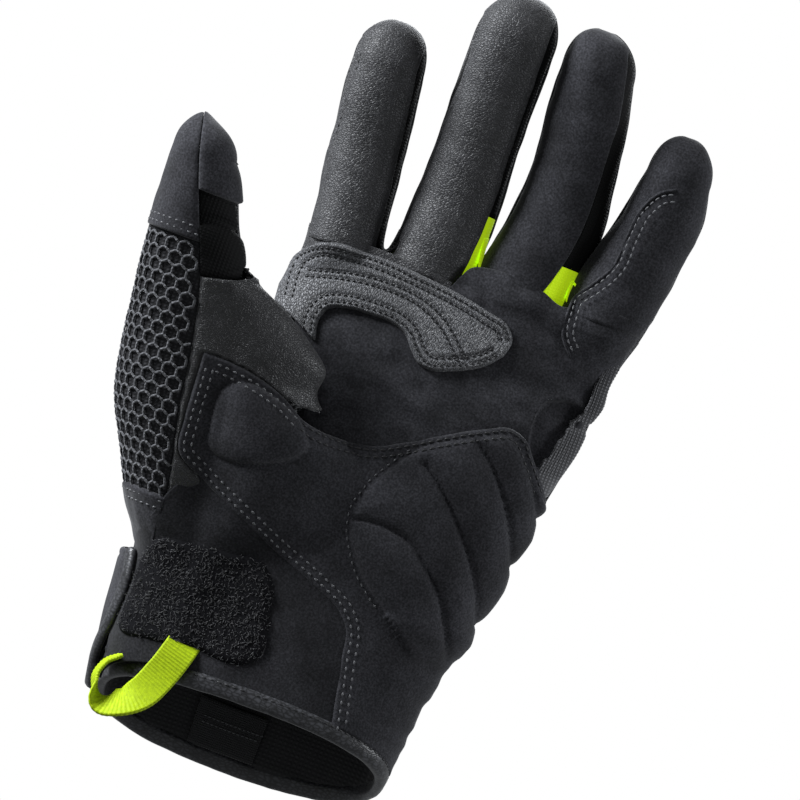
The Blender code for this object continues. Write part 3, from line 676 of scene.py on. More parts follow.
GUSSET = np.array(((57.6, 132.4), (68.5, 133.2), (69.2, 131), (66, 124), (63.6, 116), (61, 111), (57.4, 115.4)))
gusset = curve(GUSSET, 0.8, closed=True)
below = sideways(top_edge[40:], -3.5)
x, z = between(below, curve(ROOTS, 0.8), 140, 95)
x = np.clip(x, left_limit(z), right_limit(z))
flat = np.stack([x, 0 * x, z], -1)
wrinkles = 0.45 * unevenness(flat * np.array([0.6, 1, 1]), 11) + 0.3 * unevenness(flat, 5)
d = distance(x, z, gusset, closed=True)
wrinkles += np.where(inside(x, z, gusset), -2.2 * arch(d, 1.6), 0.5 * np.exp(-(d / 1.5) ** 2))
palm_upper = mesh_object("palm_upper_suede", [skin(x, z, wrinkles, hand_height)], SUEDE, 0.9)
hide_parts("palm_upper")

x, z = between(curve(((-32, 149), (-8, 149), (14.8, 151.5)), 1),
               curve(((-33.2, 158), (-20, 159), (-9.4, 159.4), (2, 159), (16, 157.2)), 1), 90, 20)
x = np.clip(x, left_limit(z), None)
roots = mesh_object("finger_root_leather", [skin(x, z, 0.15 + 0 * x, hand_height)], LEATHER, 0.9)


# %% [markdown]
# A finger is a front and a back joined along its sides. The front seam is where the palm
# side's leather ends, and between two fingers a strip of stretch cloth, a fourchette, fills
# the side. Each part is the same tube over its own run of angles, and the leather part rides
# a little higher than the cloth, with an edge that rolls under.

# %% Fingers
def tube_part(tube, first, last, foot, top, cols, rows, lift=None):
    """A run of a tube between two angles, which may change with height, and two heights. The
    rows crowd together towards the tip, where the tube closes."""
    v = np.linspace(0, 1, rows)[:, None]
    z = foot + (top - foot) * np.sin(v * np.pi / 2) ** (1.0 if top > tube.rows[-1].z else 0.0 + 1)
    u = np.linspace(0, 1, cols)[None]
    one = first(z) if callable(first) else first
    two = last(z) if callable(last) else last
    angle = one + (two - one) * u
    z = z + 0 * angle
    p = tube_point(tube, angle, z)
    if lift is None:
        return p
    n = normals(p)
    return p + n * lift(p, angle, z, u, v)[..., None]


def at_x(tube, line):
    """The palm-side angle at which a tube meets a line of (z, x) points."""
    knots = np.array(line, float)

    def angle(z):
        cx, _, a, _ = section(tube, z)
        return np.arcsin(np.clip((through(knots[:, 0], knots[:, 1], z) - cx) / np.maximum(a, 0.1), -1, 1))

    return angle


def creases(sizes=(5, 12), depth=(0.16, 0.4)):
    """Soft unevenness with cross folds, for leather that bends with a finger."""
    def lift(p, angle, z, u, v):
        q = p * np.array([0.5, 0.5, 1.0])
        edge = np.minimum(u, 1 - u) * np.ptp(angle) * 13
        soft = sum(d * unevenness(q, s) for s, d in zip(sizes, depth))
        return soft + edge_drop(edge, 0.5, 0.9) - 0.35 * np.exp(-((edge - 2.6) / 0.7) ** 2)
    return lift


SEAMS = {  # each finger's front: its left and right seam as (z, x)
    "index": (((147, -31.3), (160, -32.6), (190, -36), (216, -37.5)), ((147, -10), (160, -11), (190, -14), (216, -17.5))),
    "middle": (((147, -7.6), (163, -5.6), (200, -3.6), (237, -3.4)), ((147, 17), (180, 19.6), (210, 19), (237, 18.6))),
}
LIMITS = {"index": (155.8, 229.3), "middle": (155.8, 250.8), "ring": (161, 249.1), "little": (161, 226.3)}
fingers = {}
for name, tube in FINGERS.items():
    foot, top = LIMITS[name]
    if name in SEAMS:
        first, last = (at_x(tube, line) for line in SEAMS[name])
    elif name == "ring":
        first = -np.radians(88)
        last = at_x(tube, ((160, 42.6), (170, 46), (180, 48.3), (190, 49.4), (210, 48.8), (225, 47.9), (245, 43.6)))
    else:
        first, last = -np.radians(88), np.radians(88)
    fingers[name] = (first, last)
    suede_front = name in ("ring", "little")
    lift = creases((5, 14), (0.12, 0.35)) if not suede_front else (
        lambda p, angle, z, u, v: 0.3 * unevenness(p, 12) + 0.15 * unevenness(p, 5))
    front = mesh_object(f"{name}_front_skin", [tube_part(tube, first, last, foot, top, 50, 100, lift)],
                        SUEDE if suede_front else LEATHER, 0.8)
    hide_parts(*(["palm_upper"] if suede_front else [f"{name}_front"]))
    back_lift = creases((6, 14), (0.1, 0.3))
    behind = mesh_object(f"{name}_back_skin", [tube_part(
        tube, np.radians(98), np.radians(262), 150, top, 44, 84, back_lift)], BACK_LEATHER, 0.8)
    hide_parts(f"{name}_back")


def side_strip(name, which, foot, top):
    """The cloth down one side of a finger, from the front's edge to the back's."""
    first, last = fingers[name]
    ends = (last, np.radians(99)) if which == "right" else (np.radians(-99), first)
    return tube_part(FINGERS[name], *ends, foot, top, 18, 70, lambda p, *rest: -0.35 + 0 * p[..., 0])


NEON_TOP = {"index_middle": 156, "middle_ring": 181, "ring_little": 174}
for pair, top in NEON_TOP.items():
    one, two = pair.split("_")
    strips = mesh_object(f"fourchette_{pair}_neon", [side_strip(one, "right", 152, top)], NEON, 0.6)
    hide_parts(f"fourchette_{pair}")
    black = [side_strip(one, "right", top, LIMITS[one][1]), side_strip(two, "left", 152, LIMITS[two][1])]
    mesh_object(f"fourchette_{pair}_black", black, STRETCH, 0.6)
outer = [side_strip("index", "left", 151, LIMITS["index"][1])]
mesh_object("index_outer_side", outer, LEATHER, 0.6)
outer = [side_strip("little", "right", 158, LIMITS["little"][1])]
mesh_object("little_outer_side", outer, SUEDE, 0.6)


for name in ("index", "middle"):
    first, last = fingers[name]
    tube, (foot, top) = FINGERS[name], LIMITS[name]
    z = np.linspace(foot + 3, top - 4, 160)
    rows = []
    for edge, inward in ((first, 1), (last, -1)):
        _, _, a, b = section(tube, z)
        angle = edge(z) + inward * 2.9 / np.maximum((a + b) / 2, 3)
        q = tube_point(tube, angle, z, 0.22)
        out = tube_point(tube, angle, z, 1.2) - q
        rows.append((q, out))
    stitches(f"{name}_front_stitches", rows, BLACK_THREAD, 2.4, 1.8, 0.28)

# %% [markdown]
# The neon webs between the fingers are the low ends of the fourchettes. Each one is a small
# saddle of cloth that hangs between two neighbouring finger roots.

# %% Webs between the fingers
def saddle(one, two, low, high, front=62.0):
    """A web from the right side of one finger to the left side of the next. It runs from
    front to back over v and sags between the fingers by (2u - 1) squared."""
    u, v = np.linspace(0, 1, 24)[None], np.linspace(0, 1, 40)[:, None]
    turn = np.radians(front) + np.radians(118 - front) * v[:, 0]
    height = np.full(len(v), float(high))
    a, b = tube_point(one, turn, height), tube_point(two, -turn, height)
    p = a[:, None] * (1 - u[..., None]) + b[:, None] * u[..., None]
    p[..., 2] = low + (high - low) * np.abs(2 * u - 1) ** 2.4 + 0.8 * np.sin(v * np.pi)
    return p


# The neon webs use the neon cloth with its painted glow.
WEBS = (("index_middle", INDEX, MIDDLE, 159.5, 167, 55, STRETCH, "stretch_cloth"),
        ("middle_ring", MIDDLE, RING, 164.5, 174, 66, NEON, "neon_cloth"),
        ("ring_little", RING, LITTLE, 164.5, 170.5, 66, NEON, "neon_cloth"))
for pair, one, two, low, high, front, look, slot in WEBS:
    mesh_object(f"web_{pair}", [saddle(one, two, low, high, front)], look, 0.6)


# %% [markdown]
# The thumb is seven pieces round one tube, split by a seam that runs up the middle of its
# palm side. A two-part cap sits on the tip, a smooth stretch band folds below its right half,
# the left half below is a panel of honeycomb mesh, and the right half is grained leather that
# spreads out as a web to the palm. The web is a thin lens, so its free edge is a round fold.

# %% Thumb
THUMB_SEAM = ((40, -44), (66, -46.2), (90, -51), (110, -54), (130, -58.3), (150, -65.6), (160, -69.2), (179, -75))
CAP_LEFT, CAP_RIGHT, BAND_LOW = 141.2, 156.6, 137.5
LEATHER_TOP = ((-57.8, -45.7), (131.4, 138.7))  # x and height of the leather's slanting upper edge
seam_angle = at_x(THUMB, THUMB_SEAM)


def cap_lift(foot_lift=1.2):
    def lift(p, angle, z, u, v):
        low = (z - z.min()) + 0 * u
        edge = np.minimum(u, 1 - u) * np.ptp(angle) * 11 + 0 * z
        return edge_drop(low, foot_lift, 1.0) + 0.12 * unevenness(p, 6) - 0.4 * np.exp(-(edge / 0.8) ** 2)
    return lift


def band_lift(p, angle, z, u, v):
    """A stretch band with one deep fold round its middle and a smaller one under the cap."""
    fold = np.exp(-((z - 148.5 - 1.2 * np.sin(angle * 2)) / 1.5) ** 2)
    swell = np.sin(np.clip((z - BAND_LOW) / (CAP_RIGHT - BAND_LOW), 0, 1) * np.pi * 2 - 0.6)
    above = np.clip((z - np.interp(p[..., 0], *LEATHER_TOP)) / 1.5, 0, 1)
    return -0.7 + above * (1.2 + 0.5 * swell - 1.6 * fold - 0.8 * np.exp(-((z - CAP_RIGHT) / 1.3) ** 2))


left_cap = mesh_object("thumb_cap_left_suede", [tube_part(
    THUMB, np.radians(-112), seam_angle, CAP_LEFT, 178.9, 36, 90, cap_lift())], SUEDE, 0.8)
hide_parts("thumb_cap_left")
right_cap = mesh_object("thumb_cap_right_suede", [tube_part(
    THUMB, seam_angle, np.radians(112), CAP_RIGHT, 178.9, 36, 80, cap_lift(1.7))], SUEDE, 0.8)
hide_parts("thumb_cap_right")
band = mesh_object("thumb_band_cloth", [tube_part(
    THUMB, seam_angle, np.radians(104), 129.5, CAP_RIGHT + 2, 44, 80, band_lift)], STRETCH, 0.8)
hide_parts("thumb_band")
mesh_panel = mesh_object("thumb_mesh_backing", [tube_part(
    THUMB, np.radians(-104), seam_angle, 56, CAP_LEFT + 1, 44, 90, lambda p, *r: -0.5 + 0 * p[..., 0])],
    MESH_BASE, 0.7)
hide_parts("thumb_mesh")
back_top = tube_part(THUMB, np.radians(-262), np.radians(-98), 46, 178.8, 60, 120, creases((6, 15), (0.1, 0.35)))
thumb_back = mesh_object("thumb_back_leather", [back_top], LEATHER, 0.8)
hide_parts("thumb_back")


rows = []
for height, low, high in ((143.3, -96, 1), (145.5, -96, 1), (60.6, -94, 0), (58.3, -94, 0)):
    angle = np.linspace(np.radians(low), float(seam_angle(np.array(height))) - 0.06, 60)
    q = tube_point(THUMB, angle, np.full(60, height), 1.15 if high else 0.85)
    rows.append((q, q - tube_point(THUMB, angle, np.full(60, height), 0)))
stitches("thumb_light_stitches", rows, GREY_THREAD, 2.5, 1.3, 0.3)


# %% Thumb leather and its web
def web_patch():
    """Leather from the thumb's seam to the web's free edge and round it. With t from 0 to 1.6,
    x = seam + (edge - seam) sin(t pi / 2), on the front for t < 1 and on the back after."""
    t = np.linspace(0, 1.62, 75)[None]
    z = 61 + (np.interp(t, (0, 1), LEATHER_TOP[1]) - 61) * np.linspace(0, 1, 115)[:, None]
    wx, _, wa, _ = section(WEB, np.minimum(z, 137.7))
    tx, _, ta, _ = section(THUMB, z)
    free = np.maximum(wx + wa, tx + ta - 0.3)
    under = np.interp(z, (60, 71, 80, 94, 100, 104, 108), (-35, -37, -42, -30, -16, -15, 20))
    edge = np.minimum(free, under)
    seam = through(*np.array(THUMB_SEAM, float).T, z)
    x = seam + (edge - seam) * np.sin(t * np.pi / 2)
    z = z + 0 * x
    cx, cy, a, b = section(WEB, np.minimum(z, 137.7))
    front = palm_height(x, z)
    back = np.maximum(palm_side(WEB, x, np.minimum(z, 137.7), 1), palm_side(THUMB, x, z, 1))
    y = np.where(t < 1, front, np.maximum(back, front + 0.5))
    return np.stack([x, y, z], -1), x, z, t


p, x, z, t = web_patch()
gap = distance(x, z, curve([(v[1], v[0]) for v in THUMB_SEAM]))
n = normals(p)
fade = np.clip((0.93 - t) / 0.15, 0, 1)
edge = np.minimum(gap, np.where(x < -46, np.interp(x, *LEATHER_TOP) + 0.3 - z, 99))
lift = (edge_drop(edge, 0.45, 1.0) + 0.2 * unevenness(p * np.array([1, 0.4, 0.6]), 9) * arch(gap, 5)) * fade
lift += 0.12 * unevenness(p, 4) * arch(gap, 5) * fade
under = inside(x, z, np.vstack([low_edge[:60], [(0, 60), (5, 100)], top_edge[40::-1]])) * arch(distance(x, z, low_edge), 3)
lift -= 1.6 * under * (t < 1)
leather_web = mesh_object("thumb_web_leather", [p + n * lift[..., None]], THUMB_LEATHER, 0.8)
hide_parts("thumb_leather")


# %% Wrist panel and side patch
left_line = tube_point(HAND, np.full(24, -np.pi / 2), np.linspace(8, 49, 24))[:, [0, 2]]
diagonal = [(-47.5, 58), (-45, 66), (-41, 71), (-36, 73.5), (-25, 68.4), (-10, 61.4), (10, 53.1), (19, 49),
            (22.8, 44.2), (25.6, 32.4), (30.4, 9)]
rim_angle = np.linspace(-np.pi / 2, hand_angle(30.4, 9), 80)
rim_line = tube_point(HAND, rim_angle, rim_z(rim_angle, BINDING - 0.6))[:, [0, 2]]
x, z = between(rim_line, np.vstack([left_line[1:], curve(diagonal, 0.8)]), 105, 75)
soft = 0.55 + 0.4 * unevenness(np.stack([x, 0 * x, z], -1), 22) + 0.15 * unevenness(np.stack([x, 0 * x, z], -1), 7)
panel = mesh_object("wrist_panel_suede", [skin(x, z, soft)], WRIST_SUEDE, 0.9)
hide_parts("wrist_panel")

patch_angle = at_x(THUMB, ((46, -44.5), (66, -46.5)))
patch = tube_part(THUMB, np.radians(-96), patch_angle, 43, 62.5, 30, 30,
                  lambda p, angle, z, u, v: edge_drop(62.5 - z, 0.8, 1.0) * np.clip((z - 43) / 9, 0, 1) + 0.2 * unevenness(p, 5))
side_patch = mesh_object("side_patch_suede", [patch], SUEDE, 0.8)
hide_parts("side_patch")


# %% [markdown]
# Pieces laid on top of the palm are patches between two lines in x and z, on the same height.
# Their edges roll down over about a millimetre, and the sewn rows are pressed in as grooves.

# %% Knuckle bar
BAR_TOP = ((-33.8, 132.3), (-33.0, 149), (-28.5, 154.8), (-10, 157), (10, 155.8), (30, 152.4),
           (37.5, 150.2), (40.3, 146), (39.3, 140.6))
BAR_LOW = ((-18.6, 125.0), (-19.6, 132), (-17.8, 136), (-13, 137.8), (-4.7, 138.6),
           (3.2, 138.2), (7.8, 136.2), (11.2, 132.2), (14.6, 129.2), (18.3, 128.4), (25, 130.4), (35.5, 136.3), (39.3, 140.6))
bar_top, bar_low = curve(BAR_TOP, 0.7), curve(BAR_LOW, 0.7)
bar_rows = [sideways(bar_top[22:-8], by) for by in (-1.7, -4.0)] + [sideways(bar_top[3:22], by) for by in (-2.2, -4.4)]
bar_rows += [sideways(bar_low[3:-3], by) for by in (1.6, 3.9)]
bar_rows += [curve(((-28, 143), (-20.7, 145.3), (-3.3, 147.7), (9.4, 146.2), (17.6, 141.9), (22, 138), (26, 134))),
             curve(((-28, 145.4), (-20.7, 147.6), (-3.3, 150), (10.6, 148.3), (19.5, 143.6), (24.3, 139.2), (28.5, 135)))]


def grooves(x, z, lines, depth, width=0.7):
    return -depth * sum(np.exp(-(distance(x, z, line) / width) ** 2) for line in lines)


x, z = between(bar_low, bar_top, 170, 60)
x = np.maximum(x, left_limit(z) + 0.02)
d = np.minimum(distance(x, z, bar_top[20:]), distance(x, z, bar_low))
lift = 0.8 + edge_drop(d, 1.5, 1.3) + grooves(x, z, bar_rows, 0.5, 0.8)
bar = mesh_object("knuckle_bar_leather", [skin(x, z, lift, hand_height)], BAR_LEATHER, 1.0)
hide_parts("knuckle_bar")
rows = [seam_on(hand_height, line, 2.05) for line in bar_rows]
stitches("knuckle_bar_stitches", rows, BLACK_THREAD, 2.0, 1.3, 0.37)


# %% Overlay on the little finger
OVERLAY_IN = ((59, 147.5), (54.4, 153), (53.2, 160), (53.7, 166), (58, 172.5), (62, 180), (62.8, 190),
              (64.3, 200), (69, 207.6), (72.2, 209.3))
overlay_in = curve(OVERLAY_IN, 0.7)
heights = np.linspace(146.5, 209.8, 60)
overlay_out = np.stack([right_limit(heights) * 0.9995, heights], -1)
x, z = between(overlay_in, overlay_out, 90, 50)
x = np.minimum(x, right_limit(z))
d = np.minimum(distance(x, z, overlay_in), np.minimum(np.abs(z - 147) + 0.3, 210.5 - z))
lift = 0.2 + edge_drop(d, 0.9, 1.2) + 0.25 * unevenness(np.stack([x, 0 * x, z], -1), 6)
overlay = mesh_object("little_overlay_suede", [skin(x, z, lift)], SUEDE, 0.8)
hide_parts("little_overlay")
rows = [seam_on(palm_height, sideways(overlay_in[2:], -by), 1.15) for by in (1.7, 3.9)]
stitches("little_overlay_stitches", rows, GREY_THREAD, 2.3, 1.7, 0.26)


# %% [markdown]
# The back is one sheet of leather from side to side. Its height is the largest of the hand's
# back, the fingers' backs and the thumb's, with rounded joins, so knuckles grow out of it.

# %% Back of the hand
def back_height(x, z):
    """The negative of a soft minimum of negatives, so the joins are rounded outwards."""
    y = -palm_side(HAND, x, z, 1)
    for tube in FINGERS.values():
        y = soft_min(y, -palm_side(tube, x, z, 1) + np.maximum(157 - z, 0) * 0.35, 6.0)
    return -soft_min(y, np.minimum(-palm_side(THUMB, x, z, 1), -palm_side(WEB, x, z, 1)), 6.0)


def back_patch():
    v, u = np.linspace(0, 1, 105)[:, None], np.linspace(-1, 1, 105)[None]
    z = 8 + 152 * v + 0 * u
    turn = u * np.pi / 2
    low = rim_z(np.pi - turn[0], BINDING - 0.6)[None]
    z = low + (160 - low) * v
    left, right = left_limit(z) + 0.4, right_limit(z) - 0.4
    x = (left + right) / 2 + (right - left) / 2 * np.sin(turn)
    return np.stack([x, back_height(x, z), z], -1), x, z


p, x, z = back_patch()
lift = 0.5 * unevenness(p, 26) + 0.2 * unevenness(p, 7)
edge = np.minimum(np.abs(x - x[:, :1]), np.abs(x - x[:, -1:]))
hand_back = mesh_object("hand_back_leather", [p - normals(p) * (lift * np.clip(edge / 4, 0, 1))[..., None]],
                        BACK_LEATHER, 0.9)
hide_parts("hand_back")


sides = [tube_part(HAND, np.radians(a), np.radians(b), 20, 157, 24, 90, lambda p, *rest: -0.35 + 0 * p[..., 0])
         for a, b in ((-125, -58), (82, 125))]
mesh_object("hand_side_seam_leather", sides, BACK_LEATHER, 0.5)


# %% Ribbed knit at the side
KNIT_FRONT = ((103, 66.5), (110.5, 62), (116, 63.6), (125, 66), (133.4, 69), (141, 69.5), (151, 72))
knit_edge = at_x(HAND, KNIT_FRONT)


def knit_lift(p, angle, z, u, v):
    """Ribs that run down the side, drawn in at both ends and bulging over one fold."""
    ribs = 0.2 * np.sin(angle * 190 + 0.15 * z) + 0.1 * np.sin(z * 5.6)
    bulge = 1.6 * np.exp(-((z - 136.5) / 5) ** 2) + 0.7 * np.exp(-((z - 119) / 8) ** 2)
    fold = -1.3 * np.exp(-((z - 128.5) / 1.6) ** 2)
    return -0.4 + (ribs + bulge + fold + 0.9) * np.sin(np.pi * v) ** 0.4


knit = mesh_object("side_knit_ribs", [tube_part(
    HAND, knit_edge, np.radians(112), 103, 151, 170, 120, knit_lift)], KNIT, 0.8)
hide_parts("side_knit")


# %% [markdown]
# The strap comes round from the back and ends at the side. Its end is bound with a rolled
# strip of smooth leather. The soft half of the hook-and-loop lies beside it: a patch of
# short loops, each one an arc of thin thread, thousands of them at random angles.

# %% Closure strap and its binding
STRAP_TO = np.radians(-201)


def strap_lift(p, angle, z, u, v):
    edge = np.minimum(z - z.min(), z.max() - z)
    return 3.3 + 1.2 * arch(edge, 1.1) - 0.3 * np.exp(-((edge - 2.6) / 0.6) ** 2) + 0.2 * unevenness(p, 12)


STRAP_END = np.array(((-3, -90), (3, -87), (8, -84.5), (14, -77), (22, -70), (30, -67), (38, -67.5), (44, -71)), float)


def strap_end(z):
    return np.radians(through(STRAP_END[:, 0], STRAP_END[:, 1], z))


strap = mesh_object("closure_strap_suede", [tube_part(
    HAND, STRAP_TO, strap_end, 1.5, 42.4, 90, 50, strap_lift)], SUEDE, 1.4)
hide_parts("closure_strap")


def swept(path, across, out, half_width, half_depth, sides=14):
    """A closed strip with an oval section along a path; both ends close to a point."""
    turn = np.linspace(0, 2 * np.pi, sides, endpoint=False)
    end = np.minimum(np.arange(len(path)), np.arange(len(path))[::-1]) / 4.0
    end = np.sqrt(np.clip(1 - (1 - np.clip(end, 0, 1)) ** 2, 0, 1))[:, None, None]
    return path[:, None] + end * (across[:, None] * (half_width * np.cos(turn))[..., None]
                                  + out[:, None] * (half_depth * np.sin(turn))[..., None])


z = np.linspace(-4.5, 43.5, 90)
angle = strap_end(z) - np.radians(1.0)
path = tube_point(HAND, angle, z, np.interp(z, (-4.5, 6), (1.6, 3.7)))
out = path - tube_point(HAND, angle, z, 2)
out /= np.linalg.norm(out, axis=1, keepdims=True)
across = np.cross(out, np.gradient(path, axis=0))
across /= np.linalg.norm(across, axis=1, keepdims=True)
depth = np.interp(z, (-4.5, 6), (3.0, 1.6))[:, None]
roll = mesh_object("strap_binding_roll", [swept(path, across, out, 2.7, depth)], TRIM_LEATHER, around=True)
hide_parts("strap_binding")


# %% Loop patch
LOOP_EDGE = ((-45.6, 30), (-45.6, 43), (-44.2, 48.2), (-33, 51.2), (-20, 52.7), (-10, 53), (-7, 50), (-2, 34),
             (-0.4, 27.5), (-3, 22.6), (-8, 20.6), (-20, 21), (-36, 18.8), (-44.6, 18.2))
loop_edge = curve(LOOP_EDGE, 0.8, closed=True)
r = np.r_[np.linspace(0, 0.9, 26), np.linspace(0.93, 1, 5)][:, None]
middle = np.array([-24.0, 36.0])
x, z = middle[0] + (loop_edge[:, 0] - middle[0]) * r, middle[1] + (loop_edge[:, 1] - middle[1]) * r
d = distance(x, z, loop_edge, closed=True)


def loop_top(x, z, d):
    return 0.2 + edge_drop(d, 0.9, 2.0) + 0.2 * unevenness(np.stack([x, 0 * x, z], -1), 5)


LOOP_BASE = finish("loop patch ground", (0.005, 0.005, 0.006), 0.95)[0]
LOOP_BASE.node_tree.nodes["Principled BSDF"].inputs["Specular IOR Level"].default_value = 0.1
base, n = lay(palm_height, x, z, loop_top(x, z, d))
patch = mesh_object("loop_patch_ground", [base[::-1]], LOOP_BASE, 0.9, around=True)
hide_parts("loop_patch")


def pile(count, seed=7):
    """Loops of thread: arcs from foot to foot, three sides round and five rings long."""
    rng = np.random.default_rng(seed)
    x = rng.uniform(-45.6, 0, count * 2)
    z = rng.uniform(18, 53, count * 2)
    keep = inside(x, z, loop_edge)
    x, z = x[keep][:count], z[keep][:count]
    d = distance(x, z, loop_edge, closed=True)
    foot, n = lay(palm_height, x, z, loop_top(x, z, d) - 0.1)
    turn = rng.uniform(0, np.pi, len(x))
    span, rise = rng.uniform(0.45, 1.25, len(x)), rng.uniform(0.5, 1.45, len(x))
    lean = rng.normal(0, 0.6, (len(x), 2))
    along = np.stack([np.cos(turn), 0 * turn, np.sin(turn)], -1)
    side = np.cross(n, along)
    t = np.linspace(-0.15, np.pi + 0.15, 5)
    arc = (foot[:, None] + along[:, None] * (span[:, None] * np.cos(t))[..., None]
           + (n + side * lean[:, :1] + along * lean[:, 1:])[:, None] * (rise[:, None] * np.sin(t))[..., None])
    ring = np.linspace(0, 2 * np.pi, 3, endpoint=False)
    tube = arc[:, :, None] + 0.1 * (side[:, None, None] * np.cos(ring)[None, None, :, None]
                                     + n[:, None, None] * np.sin(ring)[None, None, :, None])
    i = np.arange(15).reshape(5, 3)
    quad = np.stack([i[:-1], np.roll(i, -1, 1)[:-1], np.roll(i, -1, 1)[1:], i[1:]], -1).reshape(-1, 4)
    return tube.reshape(-1, 3), (quad[None] + (np.arange(len(x)) * 15)[:, None, None]).reshape(-1, 4)


def raw_object(name, points, faces, material, slot):
    mesh = bpy.data.meshes.new(name)
    mesh.from_pydata((points * MM).tolist(), [], faces.tolist())
    mesh.shade_smooth()
    mesh.materials.append(material)
    made = bpy.data.objects.new(name, mesh)
    bpy.context.scene.collection.objects.link(made)
    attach(made, "root")
    print(f"{name}: {len(faces)} faces")
    return made


PILE = finish("loop pile thread", (0.012, 0.012, 0.013), 0.5, sheen=0.1)[0]
pile_mesh = raw_object("loop_patch_pile", *pile(5300), PILE, "loop_pile")


# %% [markdown]
# The pull tab is grosgrain ribbon: its ribs run across, just under a millimetre apart. The
# ribbon follows the same folds as the solid, and a curve through them gives its twist.

# %% Pull tab
FOLDS = np.array((
    (-23.6, -25.2, 25, 0.95, 0, -0.2), (-25.4, -29.4, 18.0, 0.95, -0.05, -0.2), (-28.2, -31.2, 9.6, 0.95, -0.1, -0.3),
    (-31.9, -32.9, 2.0, 0.85, -0.35, -0.45), (-37.2, -32.4, -3.0, 0.35, -0.75, -0.6), (-42.2, -30, -4.3, 0.25, -0.78, -0.58),
    (-46.0, -27.5, -1.8, 0.2, -0.97, -0.05), (-47.5, -26, 2.4, 0.15, -1, 0), (-46.2, -24.6, 6.8, 0.1, -1, 0),
    (-42.6, -23.4, 10.4, 0.1, -1, 0)))
run = np.r_[0, np.cumsum(np.linalg.norm(np.diff(FOLDS[:, :3], axis=0), axis=1))]
at = np.linspace(0, run[-1], 460)
line = np.stack([through(run, FOLDS[:, k], at) for k in range(6)], -1)
path, across = line[:, :3], line[:, 3:]
ahead = np.gradient(path, axis=0)
ahead /= np.linalg.norm(ahead, axis=1, keepdims=True)
across = across - (across * ahead).sum(1, keepdims=True) * ahead
across /= np.linalg.norm(across, axis=1, keepdims=True)
out = np.cross(across, ahead)
ribs = 0.58 + 0.075 * np.sin(at * 2 * np.pi / 1.05)
w = np.linspace(-1, 1, 18)
front = path[:, None] + across[:, None] * (w * 5.4)[None, :, None] + out[:, None] * (ribs[:, None, None])
behind = path[:, None] + across[:, None] * (w[::-1] * 5.4)[None, :, None] - out[:, None] * (ribs[:, None, None])
WEBBING, tree, shader = finish("neon webbing", (0.32, 0.44, 0.001), 0.7)
tone = ramp(tree, noise(tree, 900, 2), [(0.35, (0.27, 0.375, 0.0008)), (0.65, (0.34, 0.465, 0.001))])
tree.links.new(tone, shader.inputs["Base Color"])
shader.inputs["Specular IOR Level"].default_value = 0.2
bump(tree, shader, noise(tree, 2500, 2), 0.08, 0.8)
tab = mesh_object("pull_tab_ribbon", [np.concatenate([front, behind], 1)], WEBBING, around=True)
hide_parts("pull_tab")


# %% Cuff binding, lining and label
def around_rim(above, lift, count=220):
    angle = np.linspace(0, 2 * np.pi, count, endpoint=False)
    return tube_point(HAND, angle, rim_z(angle, above), lift)


# the binding is folded over the rim: up the outside, round the edge and up the inside
profile = [(6.0, 0.1), (5.7, 0.9), (4.8, 1.15), (3.4, 1.25), (2.0, 1.2), (0.9, 1.0), (0.25, 0.45),
           (0.0, -0.6), (0.2, -1.7), (0.9, -2.3), (2.4, -2.6), (4.2, -2.6), (5.4, -2.4), (6.0, -1.7)]
binding = np.stack([around_rim(h, lift) for h, lift in profile])
binding += normals(binding) * 0.12 * unevenness(binding, 5)[..., None]
cuff = mesh_object("cuff_binding_leather", [np.concatenate([binding, binding[:1]])[::-1]], TRIM_LEATHER,
                   around=True)
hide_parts("cuff_binding")

edge_row = around_rim(4.7, 1.15)
stitches("cuff_binding_stitches", [(edge_row, around_rim(4.7, 2.4) - edge_row)], BLACK_THREAD,
         2.6, 1.9, 0.3)

inner = np.stack([around_rim(h, -WALL - 0.5) for h in np.linspace(4.6, 60, 30)])
inner += normals(inner) * 0.3 * unevenness(inner, 9)[..., None]
liner = mesh_object("cuff_liner_cloth", [inner[::-1]], LINER, 0.7, around=True)
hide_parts("cuff_lining")

angle = np.linspace(np.radians(180 + 21), np.radians(180 - 9), 30)
label_grid = np.stack([tube_point(HAND, angle, rim_z(angle, h), -WALL - 1.9) for h in np.linspace(5.5, 21, 14)])
label = mesh_object("size_label_cloth", [label_grid], LABEL, 0.5)
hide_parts("size_label")
across = np.linspace(np.radians(180 + 18), np.radians(180 - 9), 60)
rows = []
for h in (15.4, 13.4):
    q = tube_point(HAND, across, rim_z(across, h), -WALL - 2.5)
    rows.append((q, tube_point(HAND, across, rim_z(across, h), -WALL - 4) - q))
stitches("size_label_stitches", rows, GREY_THREAD, 1.5, 1.2, 0.2)


# %% [markdown]
# The thumb's side panel is a honeycomb knit. Real threads give it depth: every hexagon edge
# is a thin tube over a dark ground, wrapped round the thumb.

